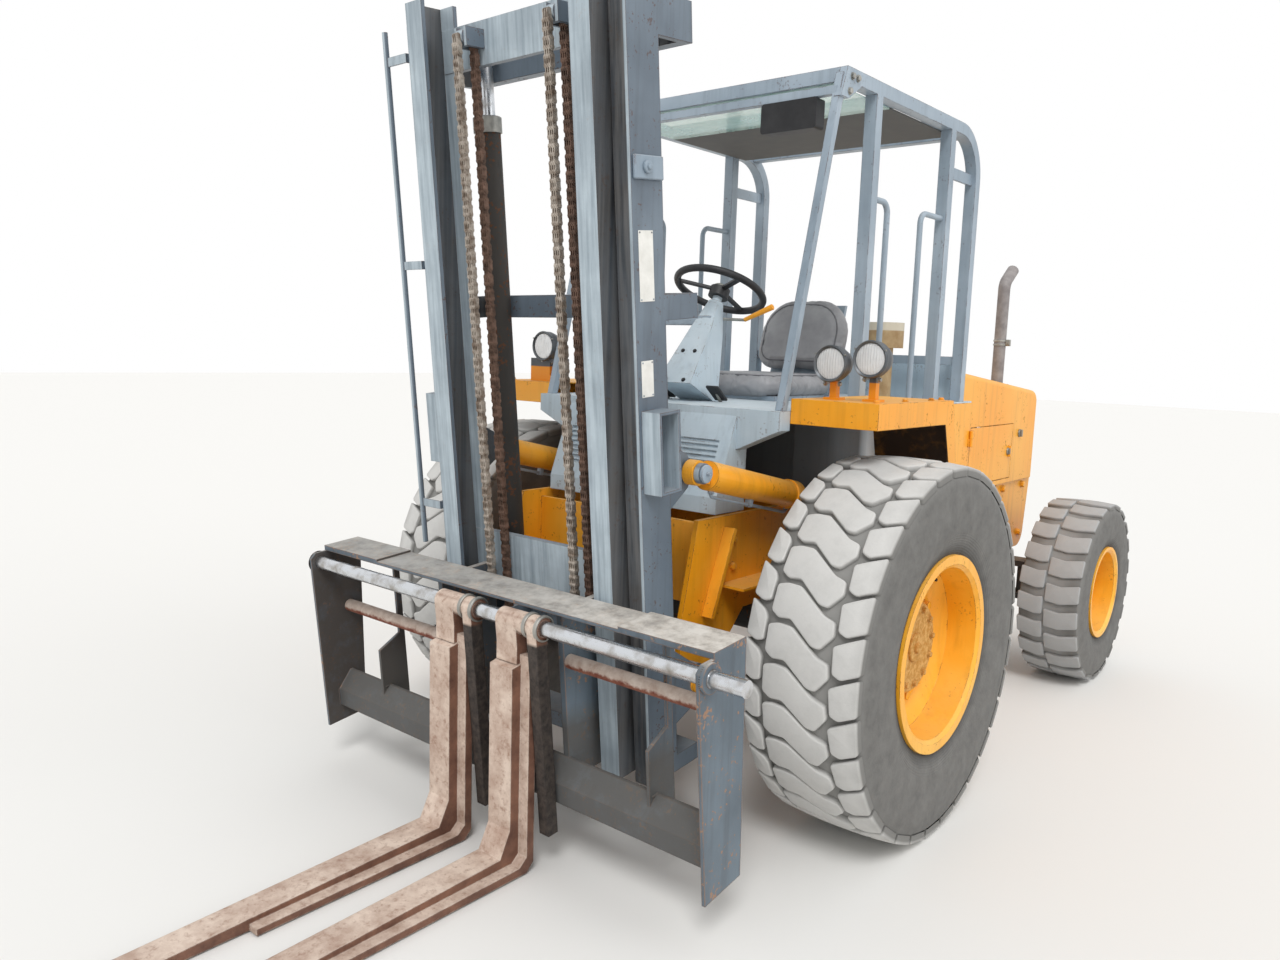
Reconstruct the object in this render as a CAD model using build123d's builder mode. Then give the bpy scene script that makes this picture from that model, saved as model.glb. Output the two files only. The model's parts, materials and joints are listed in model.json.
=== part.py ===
from build123d import *
from math import atan2, cos, degrees, pi, radians, sin
import os

# Rough terrain forklift. Millimetres, +Z up, forks point along -Y, +X is the machine's left.
# The origin lies on the ground at the middle of the whole machine's box.

# Wheels
front_tyre_d = 1350.0
front_tyre_w = 430.0
front_flange_d = 706.0
front_barrel_d = 636.0
front_track = 1865.0
rear_tyre_d = 965.0
rear_tyre_w = 316.0
rear_flange_d = 490.0
rear_barrel_d = 452.0
rear_track = 1818.0
wheelbase = 2300.0
rim_wall = 12.0
front_pitches = 32
rear_pitches = 22
front_groove_deep = 22.0
rear_groove_deep = 16.0
running_gap = 0.3
rod_gap = 0.05

# Forks
fork_length = 1220.0
fork_face_ahead = 1215.0
fork_bar_w = 105.0
fork_ledge_w = 145.0
fork_bar_t = 38.0
fork_ledge_t = 30.0
fork_ground = 6.0
fork_right_x = -185.0
fork_left_x = 125.0

# The machine's box is centred on the origin, which sets where the front axle stands.
rear_reach = wheelbase + rear_tyre_d / 2
front_y = (fork_face_ahead + fork_length - rear_reach) / 2
rear_y = front_y + wheelbase
front_z = front_tyre_d / 2
rear_z = rear_tyre_d / 2

# Chassis and body
chassis_half_w = 450.0
chassis_waist = 50.0
chassis_plate = 20.0
chassis_front_ahead = 640.0
chassis_low = 760.0
chassis_top = 1120.0
chassis_behind_axle = 90.0
waist_ahead_of_axle = 890.0
body_overhang = 100.0
deck_z = 1500.0
hood_ahead_of_axle = 880.0
hood_behind_axle = 230.0
hood_top = 1638.0
hood_rear_top = 1536.0
hood_low = 1035.0
sheet = 5.0
engine_low = 975.0
body_half_w = chassis_half_w + body_overhang
chassis_rear_half_w = chassis_half_w - chassis_waist

# Mast, leaning forward about its foot pin
mast_lean = 5.6
mast_pin_ahead = 600.0
mast_pin_z = 560.0
mast_pin_r = 30.0
rail_top = 2250.0
rail_foot = -280.0
outer_over_chassis = 47.5
outer_front = -260.0
outer_rear = -115.0
outer_flange_w = 66.0
outer_wall = 18.0
inner_inset = 81.5
inner_front = -322.0
inner_rear = -172.0
inner_flange_w = 82.0
inner_wall = 16.0
lift_foot = rail_foot + 60
inner_top = 2300.0
inner_foot = -250.0
back_plane = 0.0
cross_depth = 50.0

outer_half_w = chassis_half_w + outer_over_chassis
inner_half_w = outer_half_w - inner_inset
rail_mid = outer_half_w - 21.5
pin_y = front_y - mast_pin_ahead
lean = radians(mast_lean)
mast = Plane(origin=(0, pin_y, mast_pin_z), x_dir=(1, 0, 0), z_dir=(0, -sin(lean), cos(lean)))
mast_side = Plane(origin=mast.origin, x_dir=mast.y_dir, z_dir=(1, 0, 0))

# Carriage
carriage_half_w = 950.0
plate_t = 12.0
plate_front = -575.0
plate_rear = -351.0
plate_top = 366.0
plate_foot = -355.0
shaft_v = -535.0
shaft_w = 325.0
shaft_r = 25.0
shaft_beyond_plate = 128.0
collar_t = 14.0
collar_r = 44.0
groove_w = 8.0
groove_deep = 3.0

# Tilt cylinders, from a pin on each side of the outer mast back to a clevis on the chassis
tilt_x = chassis_half_w + 80
tilt_pin_v = -28.0
tilt_pin_w = 755.0
tilt_base_y = front_y + 330
tilt_base_z = 1085.0
tilt_eye_w = 40.0
tilt_ear_r = 42.0
tilt_r = 50.0
tilt_rod_r = 25.0
tilt_pin_r = 20.0
tilt_neck = 70.0
tilt_barrel_length = 640.0
tilt_stroke_left = 260.0

# Canopy
canopy_half_w = 600.0
canopy_tube = 50.0
canopy_top = 2735.0
canopy_front_back = 30.0
post_ahead_of_hood = 130.0

deck_front_y = front_y - 240.0
os.makedirs("parts", exist_ok=True)


def save(builder, label):
    builder.part.label = label
    export_step(builder.part, "parts/" + label + ".step")


# Tread grooves of one pitch, as outlines of points: across from the middle of the tread outwards, up its front
front_grooves = (
    ((-230, 91), (-46, 57), (60, -19), (230, 68), (230, 98), (52, 5), (-48, 72), (-230, 136)),
)
rear_grooves = (
    ((-10, 0), (170, 0), (170, 17), (-10, 17)),
    ((-170, 69), (10, 69), (10, 86), (-170, 86)),
)


# Tyre: a many-sided tread band on a carcass with bulging sidewalls, with the grooves between its lugs cut in
def make_tyre(
    label, side, x, y, tyre_d, tyre_w, barrel_d, flange_d, band_sides, crown_share, pitches, groove_deep, grooves,
):
    radius = tyre_d / 2
    seat_r = barrel_d / 2 + running_gap
    bead_r = flange_d / 2 + running_gap
    half = tyre_w / 2
    bead_half = half * 0.86
    tread_half = half * 0.93
    crown_half = tread_half * crown_share
    crown_drop = tyre_w * 0.045
    under_r = radius - groove_deep - 22
    hub = Vector(x, y, radius)
    with BuildPart() as tyre:
        for out in (1, -1):
            tread_plane = Plane(origin=hub, x_dir=(0, 0, 1), z_dir=(out, 0, 0))
            with BuildSketch(tread_plane):
                RegularPolygon(radius, band_sides, major_radius=False, rotation=180 / band_sides)
            extrude(amount=crown_half)
            if crown_half < tread_half:
                with BuildSketch(tread_plane.offset(crown_half)):
                    RegularPolygon(radius, band_sides, major_radius=False, rotation=180 / band_sides)
                shoulder = tread_half - crown_half
                extrude(amount=shoulder, taper=degrees(atan2(crown_drop, shoulder)))
        with BuildSketch(Plane(origin=hub, x_dir=(0, 0, 1), z_dir=(1, 0, 0))):
            Circle(under_r - 20)
        extrude(amount=half, both=True, mode=Mode.SUBTRACT)
        with BuildSketch(Plane(origin=hub, x_dir=(1, 0, 0), z_dir=(0, -1, 0))):
            with BuildLine():
                Line((-bead_half, seat_r), (bead_half, seat_r))
                Line((bead_half, seat_r), (bead_half, bead_r))
                ThreePointArc((bead_half, bead_r), (half, (bead_r + under_r) / 2), (tread_half, under_r))
                Line((tread_half, under_r), (-tread_half, under_r))
                ThreePointArc((-tread_half, under_r), (-half, (bead_r + under_r) / 2), (-bead_half, bead_r))
                Line((-bead_half, bead_r), (-bead_half, seat_r))
            make_face()
        revolve(axis=Axis(hub, (1, 0, 0)))
        for pitch in range(pitches):
            for outline in grooves:
                middle = sum(along for across, along in outline) / len(outline)
                turn = 2 * pi * pitch / pitches + middle / radius
                out = Vector(0, -cos(turn), sin(turn))
                with BuildSketch(Plane(origin=hub + out * (radius - groove_deep), x_dir=(1, 0, 0), z_dir=out)):
                    with BuildLine():
                        Polyline(*[(side * across, middle - along) for across, along in outline], close=True)
                    make_face()
        extrude(amount=groove_deep + 10, mode=Mode.SUBTRACT)
    save(tyre, label)


# Rim: barrel with two flanges, a dished disc and a hub closed by a cap
def make_rim(label, side, x, y, z, tyre_w, barrel_d, flange_d, disc_inset, hub_r, hub_depth, bore_r):
    half = tyre_w * 0.43
    outer_r = barrel_d / 2
    inner_r = outer_r - rim_wall
    flange_r = flange_d / 2
    flange_t = 14.0
    lip = 14.0
    disc_t = 14.0
    dish = 36.0
    face = -disc_inset
    cap = face + hub_depth
    rim_plane = Plane(origin=(x, y, z), x_dir=(side, 0, 0), z_dir=(0, -side, 0))
    with BuildPart() as rim:
        with BuildSketch(rim_plane):
            with BuildLine():
                Polyline(
                    (-half - flange_t, inner_r), (half + 2, inner_r), (half + flange_t, inner_r + lip),
                    (half + flange_t, flange_r), (half + running_gap, flange_r), (half + running_gap, outer_r),
                    (-half - running_gap, outer_r), (-half - running_gap, flange_r), (-half - flange_t, flange_r),
                    close=True,
                )
            make_face()
            with BuildLine():
                Polyline(
                    (face - disc_t, bore_r), (cap - cap_t, bore_r), (cap - cap_t, 0), (cap, 0), (cap, hub_r - 12),
                    (cap - 12, hub_r), (face, hub_r + 6), (face, inner_r - 2 * dish), (face + dish, inner_r),
                    (face + dish - disc_t, inner_r), (face - disc_t, inner_r - 2 * dish), close=True,
                )
            make_face()
        revolve(axis=Axis((x, y, z), (1, 0, 0)))
    save(rim, label)


front_disc_inset = -40.0
rear_disc_inset = 40.0
front_hub_r = 170.0
rear_hub_r = 95.0
front_hub_depth = 45.0
rear_hub_depth = 60.0
cap_t = 12.0
spindle_r = 55.0
rear_spindle_r = 42.0
for side, name in ((1, "left"), (-1, "right")):
    front_x = side * front_track / 2
    rear_x = side * rear_track / 2
    make_tyre(
        "front_tyre_" + name, side, front_x, front_y, front_tyre_d, front_tyre_w, front_barrel_d, front_flange_d,
        32, 0.72, front_pitches, front_groove_deep, front_grooves,
    )
    make_tyre(
        "rear_tyre_" + name, side, rear_x, rear_y, rear_tyre_d, rear_tyre_w, rear_barrel_d, rear_flange_d,
        24, 1.0, rear_pitches, rear_groove_deep, rear_grooves,
    )
    make_rim(
        "front_rim_" + name, side, front_x, front_y, front_z, front_tyre_w, front_barrel_d, front_flange_d,
        front_disc_inset, front_hub_r, front_hub_depth, spindle_r + running_gap,
    )
    make_rim(
        "rear_rim_" + name, side, rear_x, rear_y, rear_z, rear_tyre_w, rear_barrel_d, rear_flange_d,
        rear_disc_inset, rear_hub_r, rear_hub_depth, rear_spindle_r + running_gap,
    )

# Front axle: one turned housing from hub to hub, with two pads under the chassis
front_disc_x = front_track / 2 - front_disc_inset - 14
spindle_end = front_disc_x + 14 + front_hub_depth - cap_t - 2
axle_tube_r = 78.0
diff_r = 175.0
with BuildPart() as front_axle:
    with BuildSketch(Plane(origin=(0, front_y, front_z), x_dir=(1, 0, 0), z_dir=(0, -1, 0))):
        with BuildLine():
            Polyline(
                (0, 0), (0, diff_r), (110, diff_r - 15), (190, axle_tube_r + 20), (230, axle_tube_r),
                (front_disc_x - 150, axle_tube_r), (front_disc_x - 120, 150), (front_disc_x - 8, 150),
                (front_disc_x - 8, spindle_r), (spindle_end, spindle_r), (spindle_end, 0), close=True,
            )
        make_face()
    revolve(axis=Axis((0, front_y, front_z), (1, 0, 0)))
    mirror(about=Plane.YZ)
    for side in (1, -1):
        pad_x = side * (chassis_half_w - chassis_plate / 2)
        with BuildSketch(Plane.XY.offset(front_z)):
            with Locations((pad_x, front_y)):
                Rectangle(90, 190)
        extrude(amount=chassis_low - front_z)
save(front_axle, "front_axle")

# Rear axle: a fabricated beam that rocks on a centre pin, with a yoke at each end
kingpin_x = 650.0
yoke_gap = 150.0
yoke_t = 32.0
yoke_r = 62.0
beam_h = 150.0
beam_depth = 100.0
beam_end_x = kingpin_x - yoke_r - 30
pivot_r = 45.0
pivot_z = rear_z + 70
steer_y = rear_y + 130
steer_z = rear_z - 46
with BuildPart() as rear_axle:
    with BuildSketch(Plane.XZ.offset(-rear_y)):
        with BuildLine():
            Polyline(
                (-beam_end_x, rear_z - beam_h / 2), (-190, rear_z - beam_h / 2 - 30),
                (190, rear_z - beam_h / 2 - 30), (beam_end_x, rear_z - beam_h / 2),
                (beam_end_x, rear_z + beam_h / 2), (190, rear_z + beam_h / 2 + 40),
                (-190, rear_z + beam_h / 2 + 40), (-beam_end_x, rear_z + beam_h / 2), close=True,
            )
        make_face()
    extrude(amount=beam_depth / 2, both=True)
    for side in (1, -1):
        for low in (rear_z - yoke_gap / 2 - yoke_t, rear_z + yoke_gap / 2):
            with BuildSketch(Plane.XY.offset(low)):
                with Locations((side * kingpin_x, rear_y)):
                    Circle(yoke_r)
                with Locations((side * (kingpin_x + beam_end_x - 60) / 2, rear_y)):
                    Rectangle(kingpin_x - beam_end_x + 60, 2 * yoke_r)
            extrude(amount=yoke_t)
        with BuildSketch(Plane.XY.offset(rear_z - yoke_gap / 2 - yoke_t)):
            with Locations((side * (beam_end_x - 30), rear_y)):
                Rectangle(60, beam_depth)
        extrude(amount=yoke_gap + 2 * yoke_t)
    with BuildSketch(Plane.XZ.offset(-rear_y)):
        with Locations((0, pivot_z)):
            Circle(pivot_r)
    extrude(amount=168, both=True)
    for cylinder_r, cylinder_half in ((38, 210), (18, 330)):
        with BuildSketch(Plane.YZ):
            with Locations((steer_y, steer_z)):
                Circle(cylinder_r)
        extrude(amount=cylinder_half, both=True)
    for clamp_x in (-150, 150):
        with BuildSketch(Plane.YZ.offset(clamp_x)):
            with Locations(((rear_y + steer_y) / 2, steer_z)):
                Rectangle(steer_y - rear_y, 60)
        extrude(amount=15, both=True)
save(rear_axle, "rear_axle")

# Steering knuckles: a kingpin barrel between the yoke's ears, with the spindle outboard
rear_disc_x = rear_track / 2 - rear_disc_inset - 14
rear_spindle_end = rear_disc_x + 14 + rear_hub_depth - cap_t - 2
for side, name in ((1, "left"), (-1, "right")):
    with BuildPart() as knuckle:
        with BuildSketch(Plane.XY.offset(rear_z - yoke_gap / 2 + running_gap)):
            with Locations((side * kingpin_x, rear_y)):
                Circle(yoke_r - 6)
        extrude(amount=yoke_gap - 2 * running_gap)
        spindle_plane = Plane(origin=(0, rear_y, rear_z), x_dir=(side, 0, 0), z_dir=(0, -side, 0))
        with BuildSketch(spindle_plane):
            with BuildLine():
                Polyline(
                    (kingpin_x, 0), (kingpin_x, 58), (rear_disc_x - 70, 58), (rear_disc_x - 60, 92),
                    (rear_disc_x - 8, 92), (rear_disc_x - 8, rear_spindle_r), (rear_spindle_end, rear_spindle_r),
                    (rear_spindle_end, 0), close=True,
                )
            make_face()
        revolve(axis=Axis((0, rear_y, rear_z), (1, 0, 0)))
        with BuildSketch(Plane.XY.offset(rear_z - 14)):
            with BuildLine():
                Polyline(
                    (side * (kingpin_x - 35), rear_y + 30), (side * (kingpin_x + 40), rear_y + 30),
                    (side * (kingpin_x + 15), rear_y + 190), (side * (kingpin_x - 35), rear_y + 190), close=True,
                )
            make_face()
        extrude(amount=28)
    save(knuckle, "knuckle_" + name)

# Chassis: two side plates joined by cross plates, with the mast pins at the nose
chassis_front_y = front_y - chassis_front_ahead
nose_rake = 80.0
rib_ahead = 185.0
rib_z = 925.0
rib_lean = 21.0
rib_out = 46.0
step_behind = 350.0
step_out = 110.0
waist_y = rear_y - waist_ahead_of_axle
chassis_rear_y = rear_y + chassis_behind_axle
with BuildPart() as chassis_frame:
    for side in (1, -1):
        outer = side * chassis_half_w
        with BuildSketch(Plane.YZ.offset(outer - (chassis_plate if side > 0 else 0))):
            with BuildLine():
                Polyline(
                    (chassis_front_y, mast_pin_z - 70), (chassis_front_y + 120, mast_pin_z - 70),
                    (front_y - 260, chassis_low), (waist_y, chassis_low), (waist_y, chassis_top),
                    (chassis_front_y + nose_rake, chassis_top), (chassis_front_y, mast_pin_z + 200), close=True,
                )
            make_face()
        extrude(amount=chassis_plate)
        with BuildSketch(Plane.YZ.offset(side * chassis_rear_half_w - (chassis_plate if side > 0 else 0))):
            with BuildLine():
                Polyline(
                    (waist_y - 60, chassis_low), (waist_y + 120, rear_z + 160), (chassis_rear_y, rear_z + 160),
                    (chassis_rear_y, hood_low - 5), (waist_y - 60, hood_low - 5), close=True,
                )
            make_face()
        extrude(amount=chassis_plate)
        with BuildSketch(Plane.YZ.offset(side * (chassis_half_w - chassis_plate))):
            with Locations((pin_y, mast_pin_z)):
                Circle(mast_pin_r)
        extrude(amount=side * (outer_half_w + 8 - chassis_half_w + chassis_plate))
        for ear_in, ear_out in ((chassis_half_w, tilt_x - tilt_eye_w / 2 - 5), (tilt_x + tilt_eye_w / 2 + 5, tilt_x + 42)):
            with BuildSketch(Plane.YZ.offset(side * ear_in)):
                with Locations((tilt_base_y, tilt_base_z)):
                    Circle(tilt_ear_r)
                with Locations((tilt_base_y + tilt_ear_r, tilt_base_z)):
                    Rectangle(2 * tilt_ear_r, 2 * tilt_ear_r)
            extrude(amount=side * (ear_out - ear_in))
        with BuildSketch(Plane.YZ.offset(side * chassis_half_w)):
            with Locations((tilt_base_y + 2 * tilt_ear_r - 8, tilt_base_z)):
                Rectangle(16, 2 * tilt_ear_r)
        extrude(amount=side * (tilt_x + 42 - chassis_half_w))
    front_in = chassis_half_w - chassis_plate
    rear_in = chassis_rear_half_w - chassis_plate
    bearer_z = engine_low - running_gap - 30
    crosses = (
        # y of the middle, z of the middle, thickness, height, half width
        (chassis_front_y + 190, 940.0, 20.0, 300.0, front_in),
        (front_y + 420, 940.0, 20.0, 300.0, front_in),
        (waist_y - 40, 900.0, 20.0, 240.0, front_in),
        (rear_y - 650, bearer_z, 80.0, 60.0, rear_in),
        (rear_y - 30, bearer_z, 80.0, 60.0, rear_in),
    )
    for cross_y, cross_z, cross_t, cross_h, cross_half in crosses:
        with BuildSketch(Plane.XZ.offset(-cross_y)):
            with Locations((0, cross_z)):
                Rectangle(2 * cross_half, cross_h)
        extrude(amount=cross_t / 2, both=True)
    with BuildSketch(Plane.XZ.offset(-(rear_y - 140))):
        with Locations((0, rear_z + 280)):
            Rectangle(2 * (chassis_rear_half_w - chassis_plate), 240)
        with Locations((0, pivot_z + 40)):
            Rectangle(220, 240)
        with Locations((0, pivot_z)):
            Circle(pivot_r + running_gap, mode=Mode.SUBTRACT)
    extrude(amount=30, both=True)
save(chassis_frame, "chassis_frame")

# Leaning ribs and steps on the outer faces of the chassis plates, ahead of the front tyres
with BuildPart() as chassis_steps:
    for side in (1, -1):
        plate_face = side * (chassis_half_w + running_gap)
        rib_plane = Plane(
            origin=(plate_face, chassis_front_y + rib_ahead, rib_z), x_dir=(0, 1, 0), z_dir=(side, 0, 0),
        )
        with BuildSketch(rib_plane):
            Rectangle(18, 330, rotation=-side * rib_lean)
        extrude(amount=rib_out)
        with BuildSketch(Plane.YZ.offset(plate_face)):
            with Locations((chassis_front_y + step_behind, chassis_low + 110)):
                Rectangle(270, 10)
        extrude(amount=side * step_out)
save(chassis_steps, "chassis_steps")

# Engine: one plain block under the hood
with BuildPart() as engine_block:
    with BuildSketch(Plane.XY.offset(engine_low)):
        with Locations((0, rear_y - 340)):
            Rectangle(560, 760)
    extrude(amount=450)
save(engine_block, "engine_block")

# Drive line: a gearbox on the engine's front end, and a shaft with flanges down to the front axle
box_rear_y = rear_y - 720 - running_gap
box_length = 170.0
box_half_w = 170.0
box_low = 640.0
box_top = 1030.0
shaft_start = Vector(0, box_rear_y - box_length, 715)
shaft_end = Vector(0, front_y + diff_r + running_gap, front_z)
shaft_run = (shaft_start - shaft_end).length
drive_plane = Plane(origin=shaft_end, x_dir=(1, 0, 0), z_dir=shaft_start - shaft_end)
with BuildPart() as drive_line:
    with BuildSketch(Plane.XY.offset(box_low)):
        with Locations((0, box_rear_y - box_length / 2)):
            Rectangle(2 * box_half_w, box_length)
    extrude(amount=box_top - box_low)
    for shaft_part_r, foot, head in ((30, 1, shaft_run), (55, 4, 30), (55, shaft_run - 30, shaft_run)):
        with BuildSketch(drive_plane.offset(foot)):
            Circle(shaft_part_r)
        extrude(amount=head - foot)
save(drive_line, "drive_line")

# Counterweight: a casting that wraps the chassis, with a boss for the rear end of the axle's pivot
weight_half_w = body_half_w - 20
weight_front_y = chassis_rear_y + running_gap
cheek_front_y = rear_y - 270
weight_rear_y = rear_y + 250
weight_low = 640.0
weight_top = hood_low - running_gap
with BuildPart() as counterweight:
    with BuildSketch(Plane.YZ.offset(-weight_half_w)):
        with BuildLine():
            Polyline((cheek_front_y, weight_top), (cheek_front_y, weight_low + 50), (cheek_front_y + 50, weight_low))
            Line((cheek_front_y + 50, weight_low), (weight_rear_y - 150, weight_low))
            ThreePointArc(
                (weight_rear_y - 150, weight_low), (weight_rear_y - 66, weight_low + 30),
                (weight_rear_y - 40, weight_low + 100),
            )
            Polyline((weight_rear_y - 40, weight_low + 100), (weight_rear_y, weight_top), (cheek_front_y, weight_top))
        make_face()
    extrude(amount=2 * weight_half_w)
    with BuildSketch(Plane.XY.offset(weight_low - 1)):
        with Locations((0, (cheek_front_y + weight_front_y) / 2 - 5)):
            Rectangle(2 * (chassis_rear_half_w + running_gap), weight_front_y - cheek_front_y + 10)
    extrude(amount=weight_top - weight_low + 2, mode=Mode.SUBTRACT)
    with BuildSketch(Plane.XZ.offset(-weight_front_y)):
        with Locations((0, pivot_z + 30)):
            Rectangle(240, 200)
    extrude(amount=-100)
    with BuildSketch(Plane.XZ.offset(-weight_front_y)):
        with Locations((0, pivot_z)):
            Circle(pivot_r + running_gap)
    extrude(amount=-90, mode=Mode.SUBTRACT)
save(counterweight, "counterweight")

# Hood: an open-bottomed shell over the engine, with a door cut in each side
hood_front_y = rear_y - hood_ahead_of_axle
hood_rear_y = rear_y + hood_behind_axle
door_front_y = rear_y - 740
door_rear_y = rear_y - 140
door_low = 1060.0
door_top = 1360.0
door_gap = 3.0
grille_rows = 8
grille_pitch = 40.0
grille_slot = 18.0
grille_mid = 1270.0
hinge_r = 9.0
hinge_x = body_half_w + hinge_r + running_gap
hinge_y = door_front_y - hinge_r
hood_shells = []
for inset in (0.0, sheet):
    low = hood_low - inset
    rear = hood_rear_y - inset
    with BuildPart() as shell:
        with BuildSketch(Plane.YZ.offset(inset - body_half_w)):
            with BuildLine():
                Polyline((hood_front_y + inset, low), (rear, low), (rear, hood_rear_top - 60))
                ThreePointArc(
                    (rear, hood_rear_top - 60), (rear - 22, hood_rear_top - 18 - inset),
                    (rear - 60, hood_rear_top - inset),
                )
                Line((rear - 60, hood_rear_top - inset), (hood_front_y + inset, hood_top - inset))
                Line((hood_front_y + inset, hood_top - inset), (hood_front_y + inset, low))
            make_face()
        extrude(amount=2 * (body_half_w - inset))
        rims = shell.edges().filter_by(lambda edge: abs(edge.center().X) > body_half_w - inset - 1)
        rims = rims.filter_by(lambda edge: edge.center().Y > hood_front_y + 10)
        fillet(rims.filter_by(lambda edge: edge.center().Z > hood_low + 1), 30 - inset)
    hood_shells.append(shell.part)
with BuildPart() as hood:
    add(hood_shells[0])
    add(hood_shells[1], mode=Mode.SUBTRACT)
    with BuildSketch(Plane.YZ):
        with Locations(((door_front_y + door_rear_y) / 2, (door_low + door_top) / 2)):
            Rectangle(door_rear_y - door_front_y, door_top - door_low)
    extrude(amount=body_half_w + 10, both=True, mode=Mode.SUBTRACT)
    with BuildSketch(Plane.XZ.offset(-hood_rear_y)):
        with GridLocations(300, grille_pitch, 2, grille_rows):
            with Locations((0, grille_mid)):
                Rectangle(260, grille_slot)
    extrude(amount=2 * sheet, both=True, mode=Mode.SUBTRACT)
    for side in (1, -1):
        for hinge_z in (door_low + 55, door_top - 55):
            with BuildSketch(Plane.XY.offset(hinge_z - 40)):
                with Locations((side * hinge_x, hinge_y)):
                    Circle(hinge_r)
                with Locations((side * (body_half_w + 2), hinge_y - 10)):
                    Rectangle(6, 20)
            extrude(amount=39.7)
save(hood, "hood")

for side, name in ((1, "left"), (-1, "right")):
    with BuildPart() as door:
        with BuildSketch(Plane.YZ.offset(side * body_half_w)):
            with Locations(((door_front_y + door_rear_y) / 2, (door_low + door_top) / 2)):
                Rectangle(door_rear_y - door_front_y - 2 * door_gap, door_top - door_low - 2 * door_gap)
        extrude(amount=-side * sheet)
        for hinge_z in (door_low + 55, door_top - 55):
            with BuildSketch(Plane.XY.offset(hinge_z)):
                with Locations((side * hinge_x, hinge_y)):
                    Circle(hinge_r)
                with Locations((side * (body_half_w + 3.3), hinge_y + 21)):
                    Rectangle(6, 42)
                with Locations((side * (body_half_w + 2), door_front_y + 20)):
                    Rectangle(6, 22)
            extrude(amount=40)
        with BuildSketch(Plane.YZ.offset(side * body_half_w)):
            with Locations((door_rear_y - 45, door_low + 150)):
                Rectangle(22, 60)
        extrude(amount=side * 16)
    save(door, "hood_door_" + name)

# Platform: a wide deck plate on a narrower tub over the chassis
deck_back_y = hood_front_y - 6
tub_half_w = chassis_half_w - 10
tub_front_y = deck_front_y + 300
deck_t = 8.0
with BuildPart() as platform:
    with BuildSketch(Plane.XY.offset(deck_z - deck_t)):
        with Locations((0, (deck_front_y + deck_back_y) / 2)):
            Rectangle(2 * canopy_half_w, deck_back_y - deck_front_y)
    extrude(amount=deck_t)
    with BuildSketch(Plane.XY.offset(chassis_top + 1)):
        with Locations((0, (tub_front_y + deck_back_y) / 2)):
            Rectangle(2 * tub_half_w, deck_back_y - tub_front_y)
            Rectangle(2 * (tub_half_w - sheet), deck_back_y - tub_front_y - 2 * sheet, mode=Mode.SUBTRACT)
    extrude(amount=deck_z - deck_t - chassis_top - 1)
    with BuildSketch(Plane.XZ.offset(-(deck_back_y - 40))):
        with Locations((0, deck_z + 85)):
            Rectangle(2 * (canopy_half_w - 90), 190)
    extrude(amount=sheet)
save(platform, "platform")

# Side tanks: one on each side of the chassis behind the front wheel, with a step let into the outside
tank_out = 640.0
tank_front_y = front_y + 760
tank_rear_y = waist_y - 60
tank_low = 700.0
tank_top = deck_z - deck_t - running_gap
step_z = 1000.0
step_deep = 110.0
with BuildPart() as side_tanks:
    for side in (1, -1):
        with BuildSketch(Plane.XZ.offset(-tank_front_y)):
            with BuildLine():
                Polyline(
                    (side * (chassis_half_w + running_gap), tank_low + 60), (side * (tank_out - 60), tank_low),
                    (side * tank_out, tank_low + 60), (side * tank_out, step_z),
                    (side * (tank_out - step_deep), step_z), (side * (tank_out - step_deep), step_z + 200),
                    (side * (tank_out - 40), step_z + 200), (side * (tank_out - 40), tank_top),
                    (side * (chassis_half_w + running_gap), tank_top), close=True,
                )
            make_face()
        extrude(amount=-(tank_rear_y - tank_front_y))
save(side_tanks, "side_tanks")

# Fenders: a flat-topped guard over each front tyre, with a front face and a rear leg
fender_in = canopy_half_w + running_gap
fender_out = 940.0
fender_front_y = front_y - 240
fender_rear_y = front_y + 375
fender_top = 1545.0
fender_edge = 90.0
with BuildPart() as fenders:
    for side in (1, -1):
        low_x = fender_in if side > 0 else -fender_out
        with BuildSketch(Plane.YZ.offset(low_x)):
            with BuildLine():
                Polyline(
                    (fender_front_y, fender_top), (fender_front_y, fender_top - fender_edge),
                    (fender_front_y + sheet, fender_top - fender_edge), (fender_front_y + sheet, fender_top - sheet),
                    (fender_rear_y - sheet, fender_top - sheet), (fender_rear_y + 60, fender_top - 260),
                    (fender_rear_y + 60 + sheet, fender_top - 260), (fender_rear_y, fender_top), close=True,
                )
            make_face()
        extrude(amount=fender_out - fender_in)
        with BuildSketch(Plane.YZ.offset(side * fender_out - (sheet if side > 0 else 0))):
            with BuildLine():
                Polyline(
                    (fender_front_y, fender_top), (fender_front_y, fender_top - fender_edge),
                    (fender_rear_y - 60, fender_top - fender_edge), (fender_rear_y, fender_top - 260),
                    (fender_rear_y + 60 + sheet, fender_top - 260), (fender_rear_y, fender_top), close=True,
                )
            make_face()
        extrude(amount=sheet)
save(fenders, "fenders")

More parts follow.
